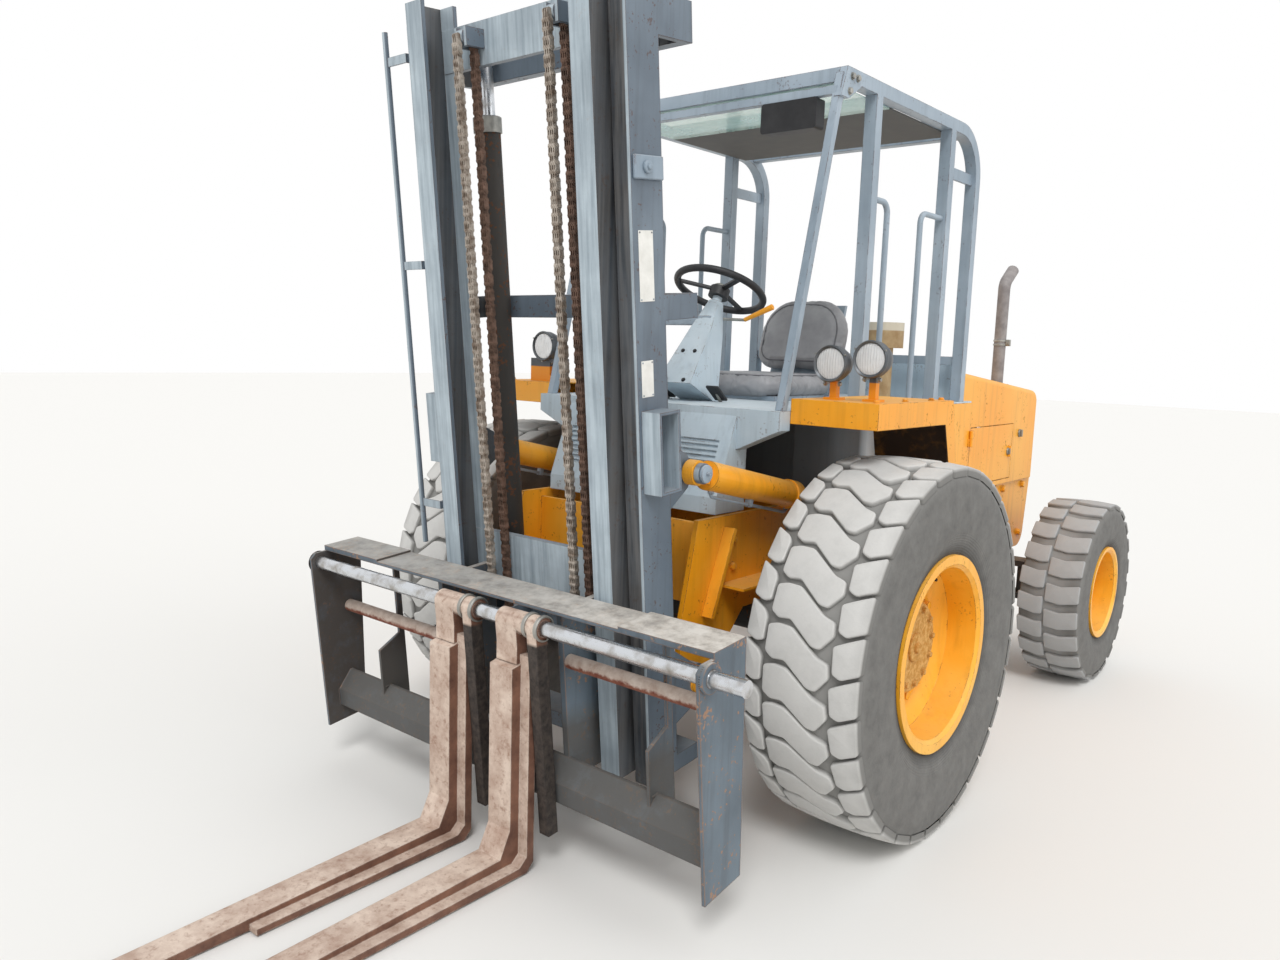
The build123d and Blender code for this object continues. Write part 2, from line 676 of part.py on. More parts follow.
# Front cowl: a sloping nose between the mast and the platform, with a wide band across its top
cowl_half_w = chassis_half_w - 30
cowl_back_y = deck_front_y - running_gap
cowl_front_y = front_y - 420
cowl_foot = Vector(0, cowl_front_y, chassis_top + 60)
cowl_head = Vector(0, cowl_back_y - 60, deck_z)
cowl_slope = (cowl_head - cowl_foot).normalized()
cowl_face = Plane(origin=cowl_foot, x_dir=(1, 0, 0), z_dir=(0, -cowl_slope.Z, cowl_slope.Y))
louvre_rows = 8
louvre_pitch = 20.0
louvre_low = 70.0
louvre_mid = 215.0
louvre_w = 310.0
louvre_h = 10.0
louvre_deep = 8.0
with BuildPart() as front_cowl:
    with BuildSketch(Plane.YZ.offset(-cowl_half_w)):
        with BuildLine():
            Polyline(
                (cowl_front_y, chassis_top + running_gap), (cowl_back_y, chassis_top + running_gap),
                (cowl_back_y, deck_z), (cowl_back_y - 60, deck_z), (cowl_front_y, chassis_top + 60), close=True,
            )
        make_face()
    extrude(amount=2 * cowl_half_w)
    with BuildSketch(Plane.XZ.offset(-cowl_back_y)):
        with BuildLine():
            Polyline(
                (-cowl_half_w, deck_z - 150), (cowl_half_w, deck_z - 150), (canopy_half_w, deck_z - 70),
                (canopy_half_w, deck_z), (-canopy_half_w, deck_z), (-canopy_half_w, deck_z - 70), close=True,
            )
        make_face()
    extrude(amount=70)
    for row in range(louvre_rows):
        for side in (1, -1):
            with BuildSketch(cowl_face.offset(-louvre_deep)):
                with Locations((side * louvre_mid, louvre_low + row * louvre_pitch)):
                    Rectangle(louvre_w, louvre_h)
            extrude(amount=louvre_deep + 2, mode=Mode.SUBTRACT)
save(front_cowl, "front_cowl")

# Console: a raked column from the deck to the steering wheel
wheel_y = front_y + 134
wheel_z = 1955.0
column_tilt = 25.0
column = Plane(
    origin=(0, wheel_y, wheel_z), x_dir=(1, 0, 0),
    z_dir=(0, sin(radians(column_tilt)), cos(radians(column_tilt))),
)
column_length = 470.0
with BuildPart() as steering_column:
    with BuildSketch(column.offset(-60)):
        Circle(32)
    with BuildSketch(column.offset(-200)):
        Rectangle(110, 90)
    loft()
    with BuildSketch(column.offset(-200)):
        Rectangle(110, 90)
    with BuildSketch(column.offset(-column_length)):
        Rectangle(170, 210)
    loft()
    with BuildSketch(column.offset(-60)):
        Circle(20)
    extrude(amount=26 - running_gap)
    with BuildSketch(Plane.XY.offset(deck_z - 400)):
        Rectangle(3000, 3000)
    extrude(amount=400, mode=Mode.SUBTRACT)
save(steering_column, "steering_column")

wheel_ring_r = 200.0
wheel_ring_t = 15.0
with BuildPart() as steering_wheel:
    with BuildSketch(Plane(origin=column.origin, x_dir=column.z_dir, z_dir=(1, 0, 0))):
        with Locations((0, wheel_ring_r - wheel_ring_t)):
            Circle(wheel_ring_t)
    revolve(axis=Axis(column.origin, column.z_dir))
    with BuildSketch(column.offset(-34)):
        Circle(42)
    extrude(amount=40)
    for turn in (90, 210, 330):
        spoke = column.x_dir * cos(radians(turn)) + column.y_dir * sin(radians(turn))
        with BuildSketch(Plane(origin=column.origin, x_dir=column.z_dir, z_dir=spoke).offset(36)):
            Rectangle(10, 22)
        extrude(amount=wheel_ring_r - wheel_ring_t - 36)
save(steering_wheel, "steering_wheel")

# Seat: a moulded base with cushion and back
seat_y = front_y + 200
with BuildPart() as seat_base:
    with BuildSketch(Plane.XY.offset(deck_z)):
        with Locations((0, seat_y + 290)):
            Rectangle(400, 420)
    extrude(amount=20)
    with BuildSketch(Plane.YZ.offset(-170)):
        with BuildLine():
            Polyline(
                (seat_y + 585, deck_z), (seat_y + 605, deck_z), (seat_y + 720, deck_z + 430),
                (seat_y + 700, deck_z + 430), close=True,
            )
        make_face()
    extrude(amount=340)
    with BuildSketch(Plane.XY.offset(deck_z)):
        with Locations((0, seat_y + 540)):
            Rectangle(340, 110)
    extrude(amount=12)
save(seat_base, "seat_base")

back_plane_seat = Plane(origin=(0, seat_y + 585, deck_z), x_dir=(1, 0, 0), z_dir=(0, -430, 115))
with BuildPart() as seat_cushion:
    with BuildSketch(Plane.XY.offset(deck_z + 20.3)):
        with Locations((0, seat_y + 285)):
            RectangleRounded(470, 520, 60)
    extrude(amount=90)

with BuildPart() as seat_back:
    with BuildSketch(back_plane_seat.offset(running_gap)):
        with Locations((0, 290)):
            RectangleRounded(480, 350, 70)
    extrude(amount=85)

with BuildPart() as seat_pads:
    add(seat_cushion.part)
    add(seat_back.part)
save(seat_pads, "seat_pads")

# Canopy: square tubes, with the rear posts bent into the roof
post_rear_y = hood_front_y - post_ahead_of_hood
front_tube_y = front_y + canopy_front_back
tube_z = canopy_top - canopy_tube / 2
side_x = canopy_half_w - canopy_tube / 2
mid_post_y = front_y + 290
inner_post_y = front_y + 990
glass_rear_y = front_y + 480
grab_r = 12.0
grab_top = 2310.0


def square_tube(start, end, size):
    """Square tube from start to end, as a solid bar added to the open part."""
    run = Plane(origin=start, x_dir=(1, 0, 0), z_dir=(end[0] - start[0], end[1] - start[1], end[2] - start[2]))
    with BuildSketch(run) as section:
        Rectangle(size, size)
    extrude(section.sketch, amount=run.z_dir.dot(Vector(*end) - Vector(*start)))


def cross_tube(y, z, half, size):
    """Square tube across the machine."""
    with BuildSketch(Plane.YZ.offset(-half)) as section:
        with Locations((y, z)):
            Rectangle(size, size)
    extrude(section.sketch, amount=2 * half)


with BuildPart() as canopy_frame:
    for side in (1, -1):
        x = side * side_x
        path_plane = Plane.YZ.offset(x)
        with BuildLine(path_plane) as post_line:
            FilletPolyline(
                (front_tube_y, tube_z), (post_rear_y, tube_z), (post_rear_y, deck_z), radius=200,
            )
        with BuildSketch(Plane(origin=(x, front_tube_y, tube_z), x_dir=(1, 0, 0), z_dir=(0, 1, 0))):
            Rectangle(canopy_tube, canopy_tube)
        sweep(path=post_line.line)
        square_tube((x, inner_post_y, deck_z), (x, inner_post_y, tube_z), canopy_tube)
        square_tube((x, mid_post_y, deck_z), (x, mid_post_y, tube_z), canopy_tube)
        with BuildSketch(Plane.YZ.offset(x)):
            with Locations(((inner_post_y + post_rear_y) / 2, tube_z - 195)):
                Rectangle(post_rear_y - inner_post_y, 50)
        extrude(amount=5, both=True)
        with BuildSketch(Plane.YZ.offset(side * canopy_half_w)):
            with BuildLine():
                Polyline(
                    (front_tube_y, canopy_top), (front_tube_y + 110, canopy_top), (front_tube_y + 110, canopy_top - 50),
                    (front_tube_y + 20, canopy_top - 110), (front_tube_y - 38, canopy_top - 110), close=True,
                )
            make_face()
        extrude(amount=-side * 30)
        square_tube((x, front_y - 270, deck_z - 20), (x, front_tube_y, tube_z), 30)
    for cross_y in (front_tube_y + canopy_tube / 2, glass_rear_y, inner_post_y, post_rear_y - 120):
        cross_tube(cross_y, tube_z, side_x, canopy_tube)
    cross_tube(front_tube_y - 18, tube_z - 60, side_x, 30)
    cross_tube(post_rear_y, deck_z + 190, side_x, 40)
    with BuildSketch(Plane.XY.offset(deck_z + running_gap)):
        Rectangle(4 * canopy_half_w, 4 * wheelbase)
    extrude(amount=-200, mode=Mode.SUBTRACT)
save(canopy_frame, "canopy_frame")

# Grab rails: bent tubes from the side posts' inner faces down to the deck, two a side
with BuildPart() as grab_rails:
    for x in (side_x, -side_x):
        for post_face, rail_y in (
            (mid_post_y + canopy_tube / 2 + running_gap, mid_post_y + 164),
            (inner_post_y - canopy_tube / 2 - running_gap, inner_post_y - 226),
        ):
            with BuildLine(Plane.YZ.offset(x)) as grab:
                FilletPolyline(
                    (post_face, grab_top), (rail_y, grab_top), (rail_y, deck_z + running_gap), radius=45,
                )
            with BuildSketch(
                Plane(origin=(x, post_face, grab_top), x_dir=(1, 0, 0), z_dir=(0, rail_y - post_face, 0))
            ):
                Circle(grab_r)
            sweep(path=grab.line)
save(grab_rails, "grab_rails")

with BuildPart() as roof_panel:
    with BuildSketch(Plane.XY.offset(tube_z - canopy_tube / 2 - 6.3)):
        with Locations((0, (glass_rear_y + post_rear_y - 220) / 2)):
            Rectangle(2 * (side_x - canopy_tube / 2 - 2), post_rear_y - 220 - glass_rear_y)
    extrude(amount=6)
save(roof_panel, "roof_panel")

with BuildPart() as roof_glass:
    with BuildSketch(Plane.XY.offset(tube_z - canopy_tube / 2 - 6.3)):
        with Locations((0, (front_tube_y + 10 + glass_rear_y) / 2)):
            Rectangle(2 * (side_x - canopy_tube / 2 - 7), glass_rear_y - front_tube_y - 12)
    extrude(amount=6)
save(roof_glass, "roof_glass")

# Mirror: a box hung under the second front tube, left of the middle
mirror_x = 380.0
mirror_w = 240.0
mirror_h = 110.0
mirror_deep = 60.0
mirror_top = tube_z - 60 - 15 - running_gap
with BuildPart() as mirror_box:
    with BuildSketch(Plane.XZ.offset(-(front_tube_y - 18 + mirror_deep - 20))):
        with Locations((mirror_x, mirror_top - mirror_h / 2)):
            RectangleRounded(mirror_w, mirror_h, 12)
    extrude(amount=mirror_deep)
    with BuildSketch(Plane.XZ.offset(-(front_tube_y - 18 + mirror_deep - 20))):
        with Locations((mirror_x, mirror_top - mirror_h / 2)):
            Rectangle(mirror_w - 24, mirror_h - 24)
    extrude(amount=6, mode=Mode.SUBTRACT)
save(mirror_box, "mirror_box")

# Exhaust: a stack through the hood with a bent tip
exhaust_x = body_half_w - 150
exhaust_y = rear_y - 30
exhaust_r = 32.0
hood_fall = (hood_top - hood_rear_top) / (hood_rear_y - 60 - hood_front_y)
exhaust_foot = hood_top - hood_fall * (exhaust_y - exhaust_r - 30 - hood_front_y) + running_gap
with BuildPart() as exhaust:
    with BuildLine(Plane(origin=(exhaust_x, exhaust_y, exhaust_foot), x_dir=(0, 1, 0), z_dir=(1, 0, 0))) as stack:
        FilletPolyline((0, 0), (0, 560), (110, 640), radius=70)
    with BuildSketch(Plane.XY.offset(exhaust_foot)):
        with Locations((exhaust_x, exhaust_y)):
            Circle(exhaust_r)
    sweep(path=stack.line)
    with BuildSketch(Plane.XY.offset(exhaust_foot)):
        with Locations((exhaust_x, exhaust_y)):
            Circle(exhaust_r + 30)
    extrude(amount=6)
save(exhaust, "exhaust")

# Pre-cleaner: a capped canister on its pipe beside the seat
cleaner_x = 430.0
cleaner_y = front_y + 800
with BuildPart() as pre_cleaner:
    with BuildSketch(Plane.XY.offset(deck_z)):
        with Locations((cleaner_x, cleaner_y)):
            Circle(38)
    extrude(amount=240)
    with BuildSketch(Plane.XY.offset(deck_z + 240)):
        with Locations((cleaner_x, cleaner_y)):
            Circle(80)
    extrude(amount=110)
save(pre_cleaner, "pre_cleaner")

# Work lamps: round bowls on posts, two on the left fender and one on the right
lamp_r = 64.0
lamps = (
    # x, y from the front axle, z of the lamp's middle
    (705.0, -130.0, 1672.0),
    (845.0, -105.0, 1692.0),
    (-720.0, -150.0, 1700.0),
)
with BuildPart() as work_lamps:
    for lamp_x, lamp_back, lamp_z in lamps:
        lamp_y = front_y + lamp_back
        with BuildSketch(Plane(origin=(lamp_x, lamp_y, lamp_z), x_dir=(0, -1, 0), z_dir=(1, 0, 0))):
            with BuildLine():
                Polyline(
                    (-64, 0), (30, 0), (30, lamp_r), (2, lamp_r), (-34, lamp_r * 0.82), (-64, lamp_r * 0.4),
                    close=True,
                )
            make_face()
        revolve(axis=Axis((lamp_x, lamp_y, lamp_z), (0, 1, 0)))
        with BuildSketch(Plane.XY.offset(fender_top + running_gap)):
            with Locations((lamp_x, lamp_y + 8)):
                Rectangle(26, 26)
        extrude(amount=lamp_z - fender_top - lamp_r + 20)
        with BuildSketch(Plane.XY.offset(fender_top + running_gap)):
            with Locations((lamp_x, lamp_y + 8)):
                Rectangle(60, 50)
        extrude(amount=8)
    bracket_x, bracket_back, bracket_z = lamps[-1]
    bracket_top = bracket_z - lamp_r + 10
    for plate_x, plate_w, plate_deep in ((0, 180, 6), (-87, 6, 60), (87, 6, 60)):
        with BuildSketch(Plane.XY.offset(fender_top + running_gap)):
            with Locations((bracket_x + plate_x, front_y + bracket_back - 22 + plate_deep / 2)):
                Rectangle(plate_w, plate_deep)
        extrude(amount=bracket_top - fender_top)
    with BuildSketch(Plane.XZ.offset(-(front_y + bracket_back - 30))):
        with Locations((bracket_x + 55, bracket_top - 45)):
            Rectangle(50, 60)
    extrude(amount=-20, mode=Mode.SUBTRACT)
save(work_lamps, "work_lamps")

# Lift chains: a strand runs over each pulley, down in front to the carriage and behind to the outer mast
chain_x = 210.0
chain_w = 34.0
chain_t = 16.0
pulley_r = 28.0
pulley_v = -248.0
pulley_w = 2170.0
chain_front_v = pulley_v - pulley_r - chain_t / 2
chain_rear_v = pulley_v + pulley_r + chain_t / 2
chain_anchor_w = 330.0
anchor_rear_w = 200.0

# Outer mast: two channels that open inwards, with cross members behind
def channel(side, half_w, front, rear, flange_w, wall, foot, top):
    """Rail of channel section that opens towards the middle of the mast."""
    with BuildSketch(mast.offset(foot)) as section:
        with Locations((side * (half_w - flange_w / 2), (front + rear) / 2)):
            Rectangle(flange_w, rear - front)
        with Locations((side * (half_w - wall - flange_w / 2), (front + rear) / 2)):
            Rectangle(flange_w, rear - front - 2 * wall, mode=Mode.SUBTRACT)
    extrude(section.sketch, amount=top - foot)


def mast_bar(x0, x1, v0, v1, w0, w1, mode=Mode.ADD):
    """Block in the mast's own directions: across, back and up."""
    with BuildSketch(mast.offset(w0)) as section:
        with Locations(((x0 + x1) / 2, (v0 + v1) / 2)):
            Rectangle(x1 - x0, v1 - v0)
    extrude(section.sketch, amount=w1 - w0, mode=mode)


with BuildPart() as mast_outer:
    for side in (1, -1):
        channel(side, outer_half_w, outer_front, outer_rear, outer_flange_w, outer_wall, rail_foot, rail_top)
        low_x = side * outer_half_w if side > 0 else -outer_half_w - 72
        mast_bar(low_x, low_x + 72, outer_front + 15, outer_front + 115, 720, 980)
        mast_bar(low_x - 1, low_x + 74, outer_front + 25, outer_front + 105, 730, 970, Mode.SUBTRACT)
        anchor_x = side * chain_x
        mast_bar(anchor_x - 22, anchor_x + 22, chain_rear_v - 10, outer_rear - 5, anchor_rear_w - 50, anchor_rear_w)
        ear_x = side * rail_mid
        with BuildSketch(mast_side.offset(ear_x)):
            with BuildLine():
                Polyline((outer_rear - 5, -110), (0, -70), (0, 70), (outer_rear - 5, 160), close=True)
            make_face()
            Circle(70)
            Circle(mast_pin_r + running_gap, mode=Mode.SUBTRACT)
        extrude(amount=20, both=True)
    cross_rows = (
        # foot and top of each cross member
        (1250.0, 1330.0),
        (2080.0, 2200.0),
    )
    for cross_foot, cross_top in cross_rows:
        mast_bar(-outer_half_w, outer_half_w, back_plane, back_plane + cross_depth, cross_foot, cross_top)
        for side in (1, -1):
            spacer_x = side * (outer_half_w - 12)
            mast_bar(spacer_x - 12, spacer_x + 12, outer_rear - 5, back_plane + cross_depth, cross_foot, cross_top)
        mast_bar(
            side * (outer_half_w + 7) - 7, side * (outer_half_w + 7) + 7, outer_rear - 80, outer_rear + 15, 1665, 1740,
        )
    mast_bar(-outer_half_w, outer_half_w, outer_rear - 10, 0, rail_foot, lift_foot - running_gap)
    mast_bar(-outer_half_w + 10, outer_half_w - 10, outer_rear - 12, outer_rear + 3, 120, anchor_rear_w + 10)
    for side in (1, -1):
        bracket_x = side * rail_mid
        with BuildSketch(mast_side.offset(bracket_x)):
            with BuildLine():
                Polyline((outer_rear - 5, 640), (-20, 700), (10, 755), (-20, 810), (outer_rear - 5, 870), close=True)
            make_face()
        extrude(amount=20, both=True)
        with BuildSketch(mast_side.offset(bracket_x)):
            with Locations((tilt_pin_v, tilt_pin_w)):
                Circle(tilt_pin_r)
        extrude(amount=side * (tilt_x + tilt_eye_w / 2 + 20 - abs(bracket_x)))
        with BuildSketch(mast_side.offset(side * (tilt_x + tilt_eye_w / 2 + 2))):
            with Locations((tilt_pin_v, tilt_pin_w)):
                Circle(tilt_pin_r + 14)
        extrude(amount=side * 20)
save(mast_outer, "mast_outer")

with BuildPart() as mast_inner:
    for side in (1, -1):
        channel(side, inner_half_w, inner_front, inner_rear, inner_flange_w, inner_wall, inner_foot, inner_top)
    mast_bar(-inner_half_w + 20, inner_half_w - 20, inner_rear - 18, inner_rear + 8, 2090, 2230)
    mast_bar(-inner_half_w + 20, inner_half_w - 20, inner_rear - 18, inner_rear + 8, 250, 470)
    for side in (1, -1):
        with BuildSketch(mast_side.offset(side * chain_x)):
            with Locations((pulley_v, pulley_w)):
                Circle(pulley_r)
        extrude(amount=chain_w / 2, both=True)
        for cheek in (-1, 1):
            cheek_x = side * chain_x + cheek * (chain_w / 2 + 6)
            mast_bar(cheek_x - 6, cheek_x + 6, pulley_v - 20, inner_rear - 10, pulley_w - 30, pulley_w + 30)
save(mast_inner, "mast_inner")

# Mast pipe: an oil pipe up the machine's right side, held off the outer rail by two clips
pipe_x = -610.0
pipe_v = -270.0
pipe_r = 10.0
pipe_foot = 400.0
with BuildPart() as mast_pipe:
    with BuildSketch(mast.offset(pipe_foot)):
        with Locations((pipe_x, pipe_v)):
            Circle(pipe_r)
    extrude(amount=rail_top - pipe_foot)
    for clip_w in (560, 1450, 2150):
        mast_bar(pipe_x, -outer_half_w - running_gap, pipe_v - 3, pipe_v + 3, clip_w - 15, clip_w + 15)
        mast_bar(-outer_half_w - 6, -outer_half_w - running_gap, pipe_v - 3, pipe_v + 40, clip_w - 15, clip_w + 15)
save(mast_pipe, "mast_pipe")

# Lift cylinders: a barrel behind each inner rail, with its rod up to the inner mast's top member
lift_x = inner_half_w - 80
lift_v = -62.0
lift_r = 45.0
lift_rod_r = 30.0
lift_head = 1950.0
rod_head_w = 2220.0
with BuildPart() as lift_barrels:
    for side in (1, -1):
        with BuildSketch(mast.offset(lift_foot)):
            with Locations((side * lift_x, lift_v)):
                Circle(lift_r)
                Circle(lift_rod_r + running_gap, mode=Mode.SUBTRACT)
        extrude(amount=lift_head - lift_foot)
        with BuildSketch(mast.offset(lift_foot)):
            with Locations((side * lift_x, lift_v)):
                Circle(lift_r)
        extrude(amount=20)
save(lift_barrels, "lift_barrels")

with BuildPart() as lift_rods:
    for side in (1, -1):
        with BuildSketch(mast.offset(lift_foot + 40)):
            with Locations((side * lift_x, lift_v)):
                Circle(lift_rod_r)
        extrude(amount=rod_head_w - lift_foot - 40)
        mast_bar(
            side * lift_x - 40, side * lift_x + 40, inner_rear + 8 + running_gap, lift_v + 40,
            rod_head_w - 30, rod_head_w,
        )
save(lift_rods, "lift_rods")

# Tilt cylinders: each barrel hangs from the outer mast, its rod reaches back to the chassis
tilt_pin = mast.origin + mast.y_dir * tilt_pin_v + mast.z_dir * tilt_pin_w
tilt_base = Vector(0, tilt_base_y, tilt_base_z)
tilt_run = (tilt_base - Vector(0, tilt_pin.Y, tilt_pin.Z)).length
tilt_dir = (tilt_base - Vector(0, tilt_pin.Y, tilt_pin.Z)).normalized()
with BuildPart() as tilt_barrels:
    for side in (1, -1):
        start = Plane(origin=(side * tilt_x, tilt_pin.Y, tilt_pin.Z), x_dir=(1, 0, 0), z_dir=tilt_dir)
        with BuildSketch(start):
            Rectangle(tilt_eye_w, 60)
        extrude(amount=tilt_neck + 10)
        with BuildSketch(start.offset(tilt_neck)):
            Circle(tilt_r)
        extrude(amount=tilt_barrel_length - tilt_neck)
        with BuildSketch(start.offset(tilt_barrel_length)):
            Circle(tilt_r + 6)
        extrude(amount=-50)
        with BuildSketch(start.offset(tilt_neck + 20)):
            Circle(tilt_rod_r + rod_gap)
        extrude(amount=tilt_barrel_length, mode=Mode.SUBTRACT)
        eye_plane = Plane.YZ.offset(side * tilt_x)
        with BuildSketch(eye_plane):
            with Locations((tilt_pin.Y, tilt_pin.Z)):
                Circle(tilt_ear_r)
        extrude(amount=tilt_eye_w / 2, both=True)
        with BuildSketch(eye_plane):
            with Locations((tilt_pin.Y, tilt_pin.Z)):
                Circle(tilt_pin_r + running_gap)
        extrude(amount=tilt_eye_w, both=True, mode=Mode.SUBTRACT)
save(tilt_barrels, "tilt_barrels")

with BuildPart() as tilt_rods:
    for side in (1, -1):
        start = Plane(origin=(side * tilt_x, tilt_pin.Y, tilt_pin.Z), x_dir=(1, 0, 0), z_dir=tilt_dir)
        with BuildSketch(start.offset(tilt_barrel_length - tilt_stroke_left)):
            Circle(tilt_rod_r)
        extrude(amount=tilt_run - tilt_barrel_length + tilt_stroke_left - 20)
        with BuildSketch(Plane.YZ.offset(side * tilt_x)):
            with Locations((tilt_base_y, tilt_base_z)):
                Circle(tilt_ear_r - 2)
        extrude(amount=tilt_eye_w / 2, both=True)
save(tilt_rods, "tilt_rods")

with BuildPart() as chains_front:
    for side in (1, -1):
        mast_bar(
            side * chain_x - chain_w / 2, side * chain_x + chain_w / 2, chain_front_v - chain_t / 2,
            chain_front_v + chain_t / 2, chain_anchor_w + running_gap, pulley_w,
        )
save(chains_front, "chains_front")
with BuildPart() as chains_rear:
    for side in (1, -1):
        mast_bar(
            side * chain_x - chain_w / 2, side * chain_x + chain_w / 2, chain_rear_v - chain_t / 2,
            chain_rear_v + chain_t / 2, anchor_rear_w + running_gap, pulley_w,
        )
save(chains_rear, "chains_rear")

# Carriage: side plates, top plate, bottom rail and gussets around the fork shaft
hub_r = 36.0
arm_x = inner_half_w - 116
roller_r = 50.0
roller_v = (inner_front + inner_rear) / 2
gusset_x = 676.0
gusset_front = -480.0
gusset_waist = -385.0
end_length = 350.0
with BuildPart() as carriage_frame:
    for side in (1, -1):
        low_x = side * carriage_half_w - (plate_t if side > 0 else 0)
        with BuildSketch(mast_side.offset(low_x)):
            with BuildLine():
                Polyline(
                    (plate_front, plate_top - 20), (plate_front + 22, plate_top), (plate_rear, plate_top),
                    (plate_rear - 45, plate_foot + 10), (plate_front + 6, plate_foot), close=True,
                )
            make_face()
            with Locations((shaft_v, shaft_w)):
                Circle(shaft_r + rod_gap, mode=Mode.SUBTRACT)
        extrude(amount=plate_t)
        with BuildSketch(mast_side.offset(side * gusset_x)):
            with BuildLine():
                Polyline(
                    (plate_rear - 10, -240), (gusset_front, -240), (gusset_front, 0), (gusset_waist, 45),
                    (gusset_waist, plate_top - 6), (plate_rear - 10, plate_top - 6), close=True,
                )
            make_face()
        extrude(amount=6, both=True)
        mast_bar(side * arm_x - 12, side * arm_x + 12, -450, inner_rear - 32, -230, plate_top - 6)
        mast_bar(
            side * (carriage_half_w - end_length / 2) - end_length / 2,
            side * (carriage_half_w - end_length / 2) + end_length / 2,
            -505, plate_rear, plate_top + plate_t, plate_top + plate_t + 8,
        )
        for roller_w in (-160, 250):
            with BuildSketch(mast_side.offset(side * arm_x)):
                with Locations((roller_v, roller_w)):
                    Circle(roller_r)
            extrude(amount=side * (inner_half_w - inner_wall - 8 - arm_x))
        mast_bar(
            side * chain_x - 40, side * chain_x + 40, chain_front_v - 40, chain_front_v + 20,
            chain_anchor_w - 30, chain_anchor_w,
        )
        anchor_x = side * (chain_x + arm_x) / 2
        mast_bar(
            anchor_x - 50, anchor_x + 50, chain_front_v - 40, chain_front_v + 20,
            chain_anchor_w - 30, chain_anchor_w,
        )
    mast_bar(-carriage_half_w, carriage_half_w, -505, plate_rear, plate_top, plate_top + plate_t)
    with BuildSketch(mast_side.offset(-carriage_half_w)):
        with BuildLine():
            Polyline((-510, -285), (-510, -215), (-452, -150), (-440, -150), (-440, -285), close=True)
        make_face()
    extrude(amount=2 * carriage_half_w)
    with BuildSketch(mast_side.offset(carriage_half_w)):
        with Locations((shaft_v, shaft_w)):
            Circle(collar_r)
            Circle(shaft_r + rod_gap, mode=Mode.SUBTRACT)
    extrude(amount=collar_t)
save(carriage_frame, "carriage_frame")

# Stay tubes between the side plates and the arms, lower on the machine's right
stay_v = -425.0
stay_r = 24.0
with BuildPart() as stay_tubes:
    for side, stay_w in ((1, 180.0), (-1, 118.0)):
        with BuildSketch(mast_side.offset(side * (arm_x + 12 + running_gap))):
            with Locations((stay_v, stay_w)):
                Circle(stay_r)
        extrude(amount=side * (carriage_half_w - plate_t - arm_x - 12 - 2 * running_gap))
save(stay_tubes, "stay_tubes")

# Fork shaft, with a groove outside the left plate for its retaining ring
groove_x = carriage_half_w + collar_t + running_gap
with BuildPart() as fork_shaft:
    with BuildSketch(mast_side.offset(-carriage_half_w - 8)):
        with Locations((shaft_v, shaft_w)):
            Circle(shaft_r)
    extrude(amount=2 * carriage_half_w + 8 + shaft_beyond_plate)
    with BuildSketch(mast_side.offset(groove_x)):
        with Locations((shaft_v, shaft_w)):
            Circle(shaft_r)
            Circle(shaft_r - groove_deep, mode=Mode.SUBTRACT)
    extrude(amount=groove_w, mode=Mode.SUBTRACT)
save(fork_shaft, "fork_shaft")

shaft_point = mast.origin + mast.y_dir * shaft_v + mast.z_dir * shaft_w
fork_face_y = front_y - fork_face_ahead
fork_back_y = fork_face_y + fork_bar_t + fork_ledge_t
hanger_x = 150.0
hanger_w = 42.0
hanger_foot = -380.0
for fork_x, name in ((fork_left_x, "left"), (fork_right_x, "right")):
    with BuildPart() as fork:
        with BuildSketch(Plane.YZ.offset(fork_x)):
            with BuildLine():
                Polyline(
                    (fork_face_y + fork_bar_t, 700), (fork_face_y, 690), (fork_face_y, 150),
                    (fork_face_y - 40, fork_ground + 60), (fork_face_y - fork_length + 60, fork_ground + 22),
                    (fork_face_y - fork_length, fork_ground + 8), (fork_face_y - fork_length, fork_ground),
                    (fork_face_y + 20, fork_ground), (fork_face_y + fork_bar_t, fork_ground + 30), close=True,
                )
            make_face()
        extrude(amount=fork_bar_w)
        with BuildSketch(Plane.YZ.offset(fork_x)):
            with BuildLine():
                Polyline(
                    (fork_back_y, 730), (fork_back_y - fork_ledge_t, 730), (fork_back_y - fork_ledge_t, 60),
                    (fork_back_y - 60, fork_ground + 28), (fork_face_y - fork_length + 500, fork_ground + 20),
                    (fork_face_y - fork_length + 500, fork_ground), (fork_back_y - 30, fork_ground),
                    (fork_back_y, fork_ground + 30), close=True,
                )
            make_face()
        extrude(amount=fork_ledge_w)
        with BuildSketch(Plane.YZ.offset(fork_x + 5)):
            with BuildLine():
                Polyline(
                    (fork_back_y, 700), (fork_back_y, 760), (shaft_point.Y + hub_r, shaft_point.Z),
                    (shaft_point.Y - hub_r, shaft_point.Z), (fork_back_y - 45, 760), (fork_back_y - 45, 700), close=True,
                )
            make_face()
            with Locations((shaft_point.Y, shaft_point.Z)):
                Circle(hub_r)
                Circle(shaft_r + rod_gap, mode=Mode.SUBTRACT)
        extrude(amount=fork_bar_w - 10)
        with BuildSketch(mast_side.offset(fork_x + 5)):
            with Locations((shaft_v, shaft_w)):
                Circle(hub_r)
                Circle(shaft_r + rod_gap, mode=Mode.SUBTRACT)
        extrude(amount=hanger_x + hanger_w - 5)
        with BuildSketch(mast_side.offset(fork_x + hanger_x)):
            with BuildLine():
                Polyline(
                    (shaft_v - hub_r, shaft_w), (shaft_v - 30, hanger_foot), (shaft_v + 12, hanger_foot),
                    (shaft_v + 12, shaft_w), close=True,
                )
            make_face()
            with Locations((shaft_v, shaft_w)):
                Circle(hub_r)
                Circle(shaft_r + rod_gap, mode=Mode.SUBTRACT)
        extrude(amount=hanger_w)
    save(fork, "fork_" + name)
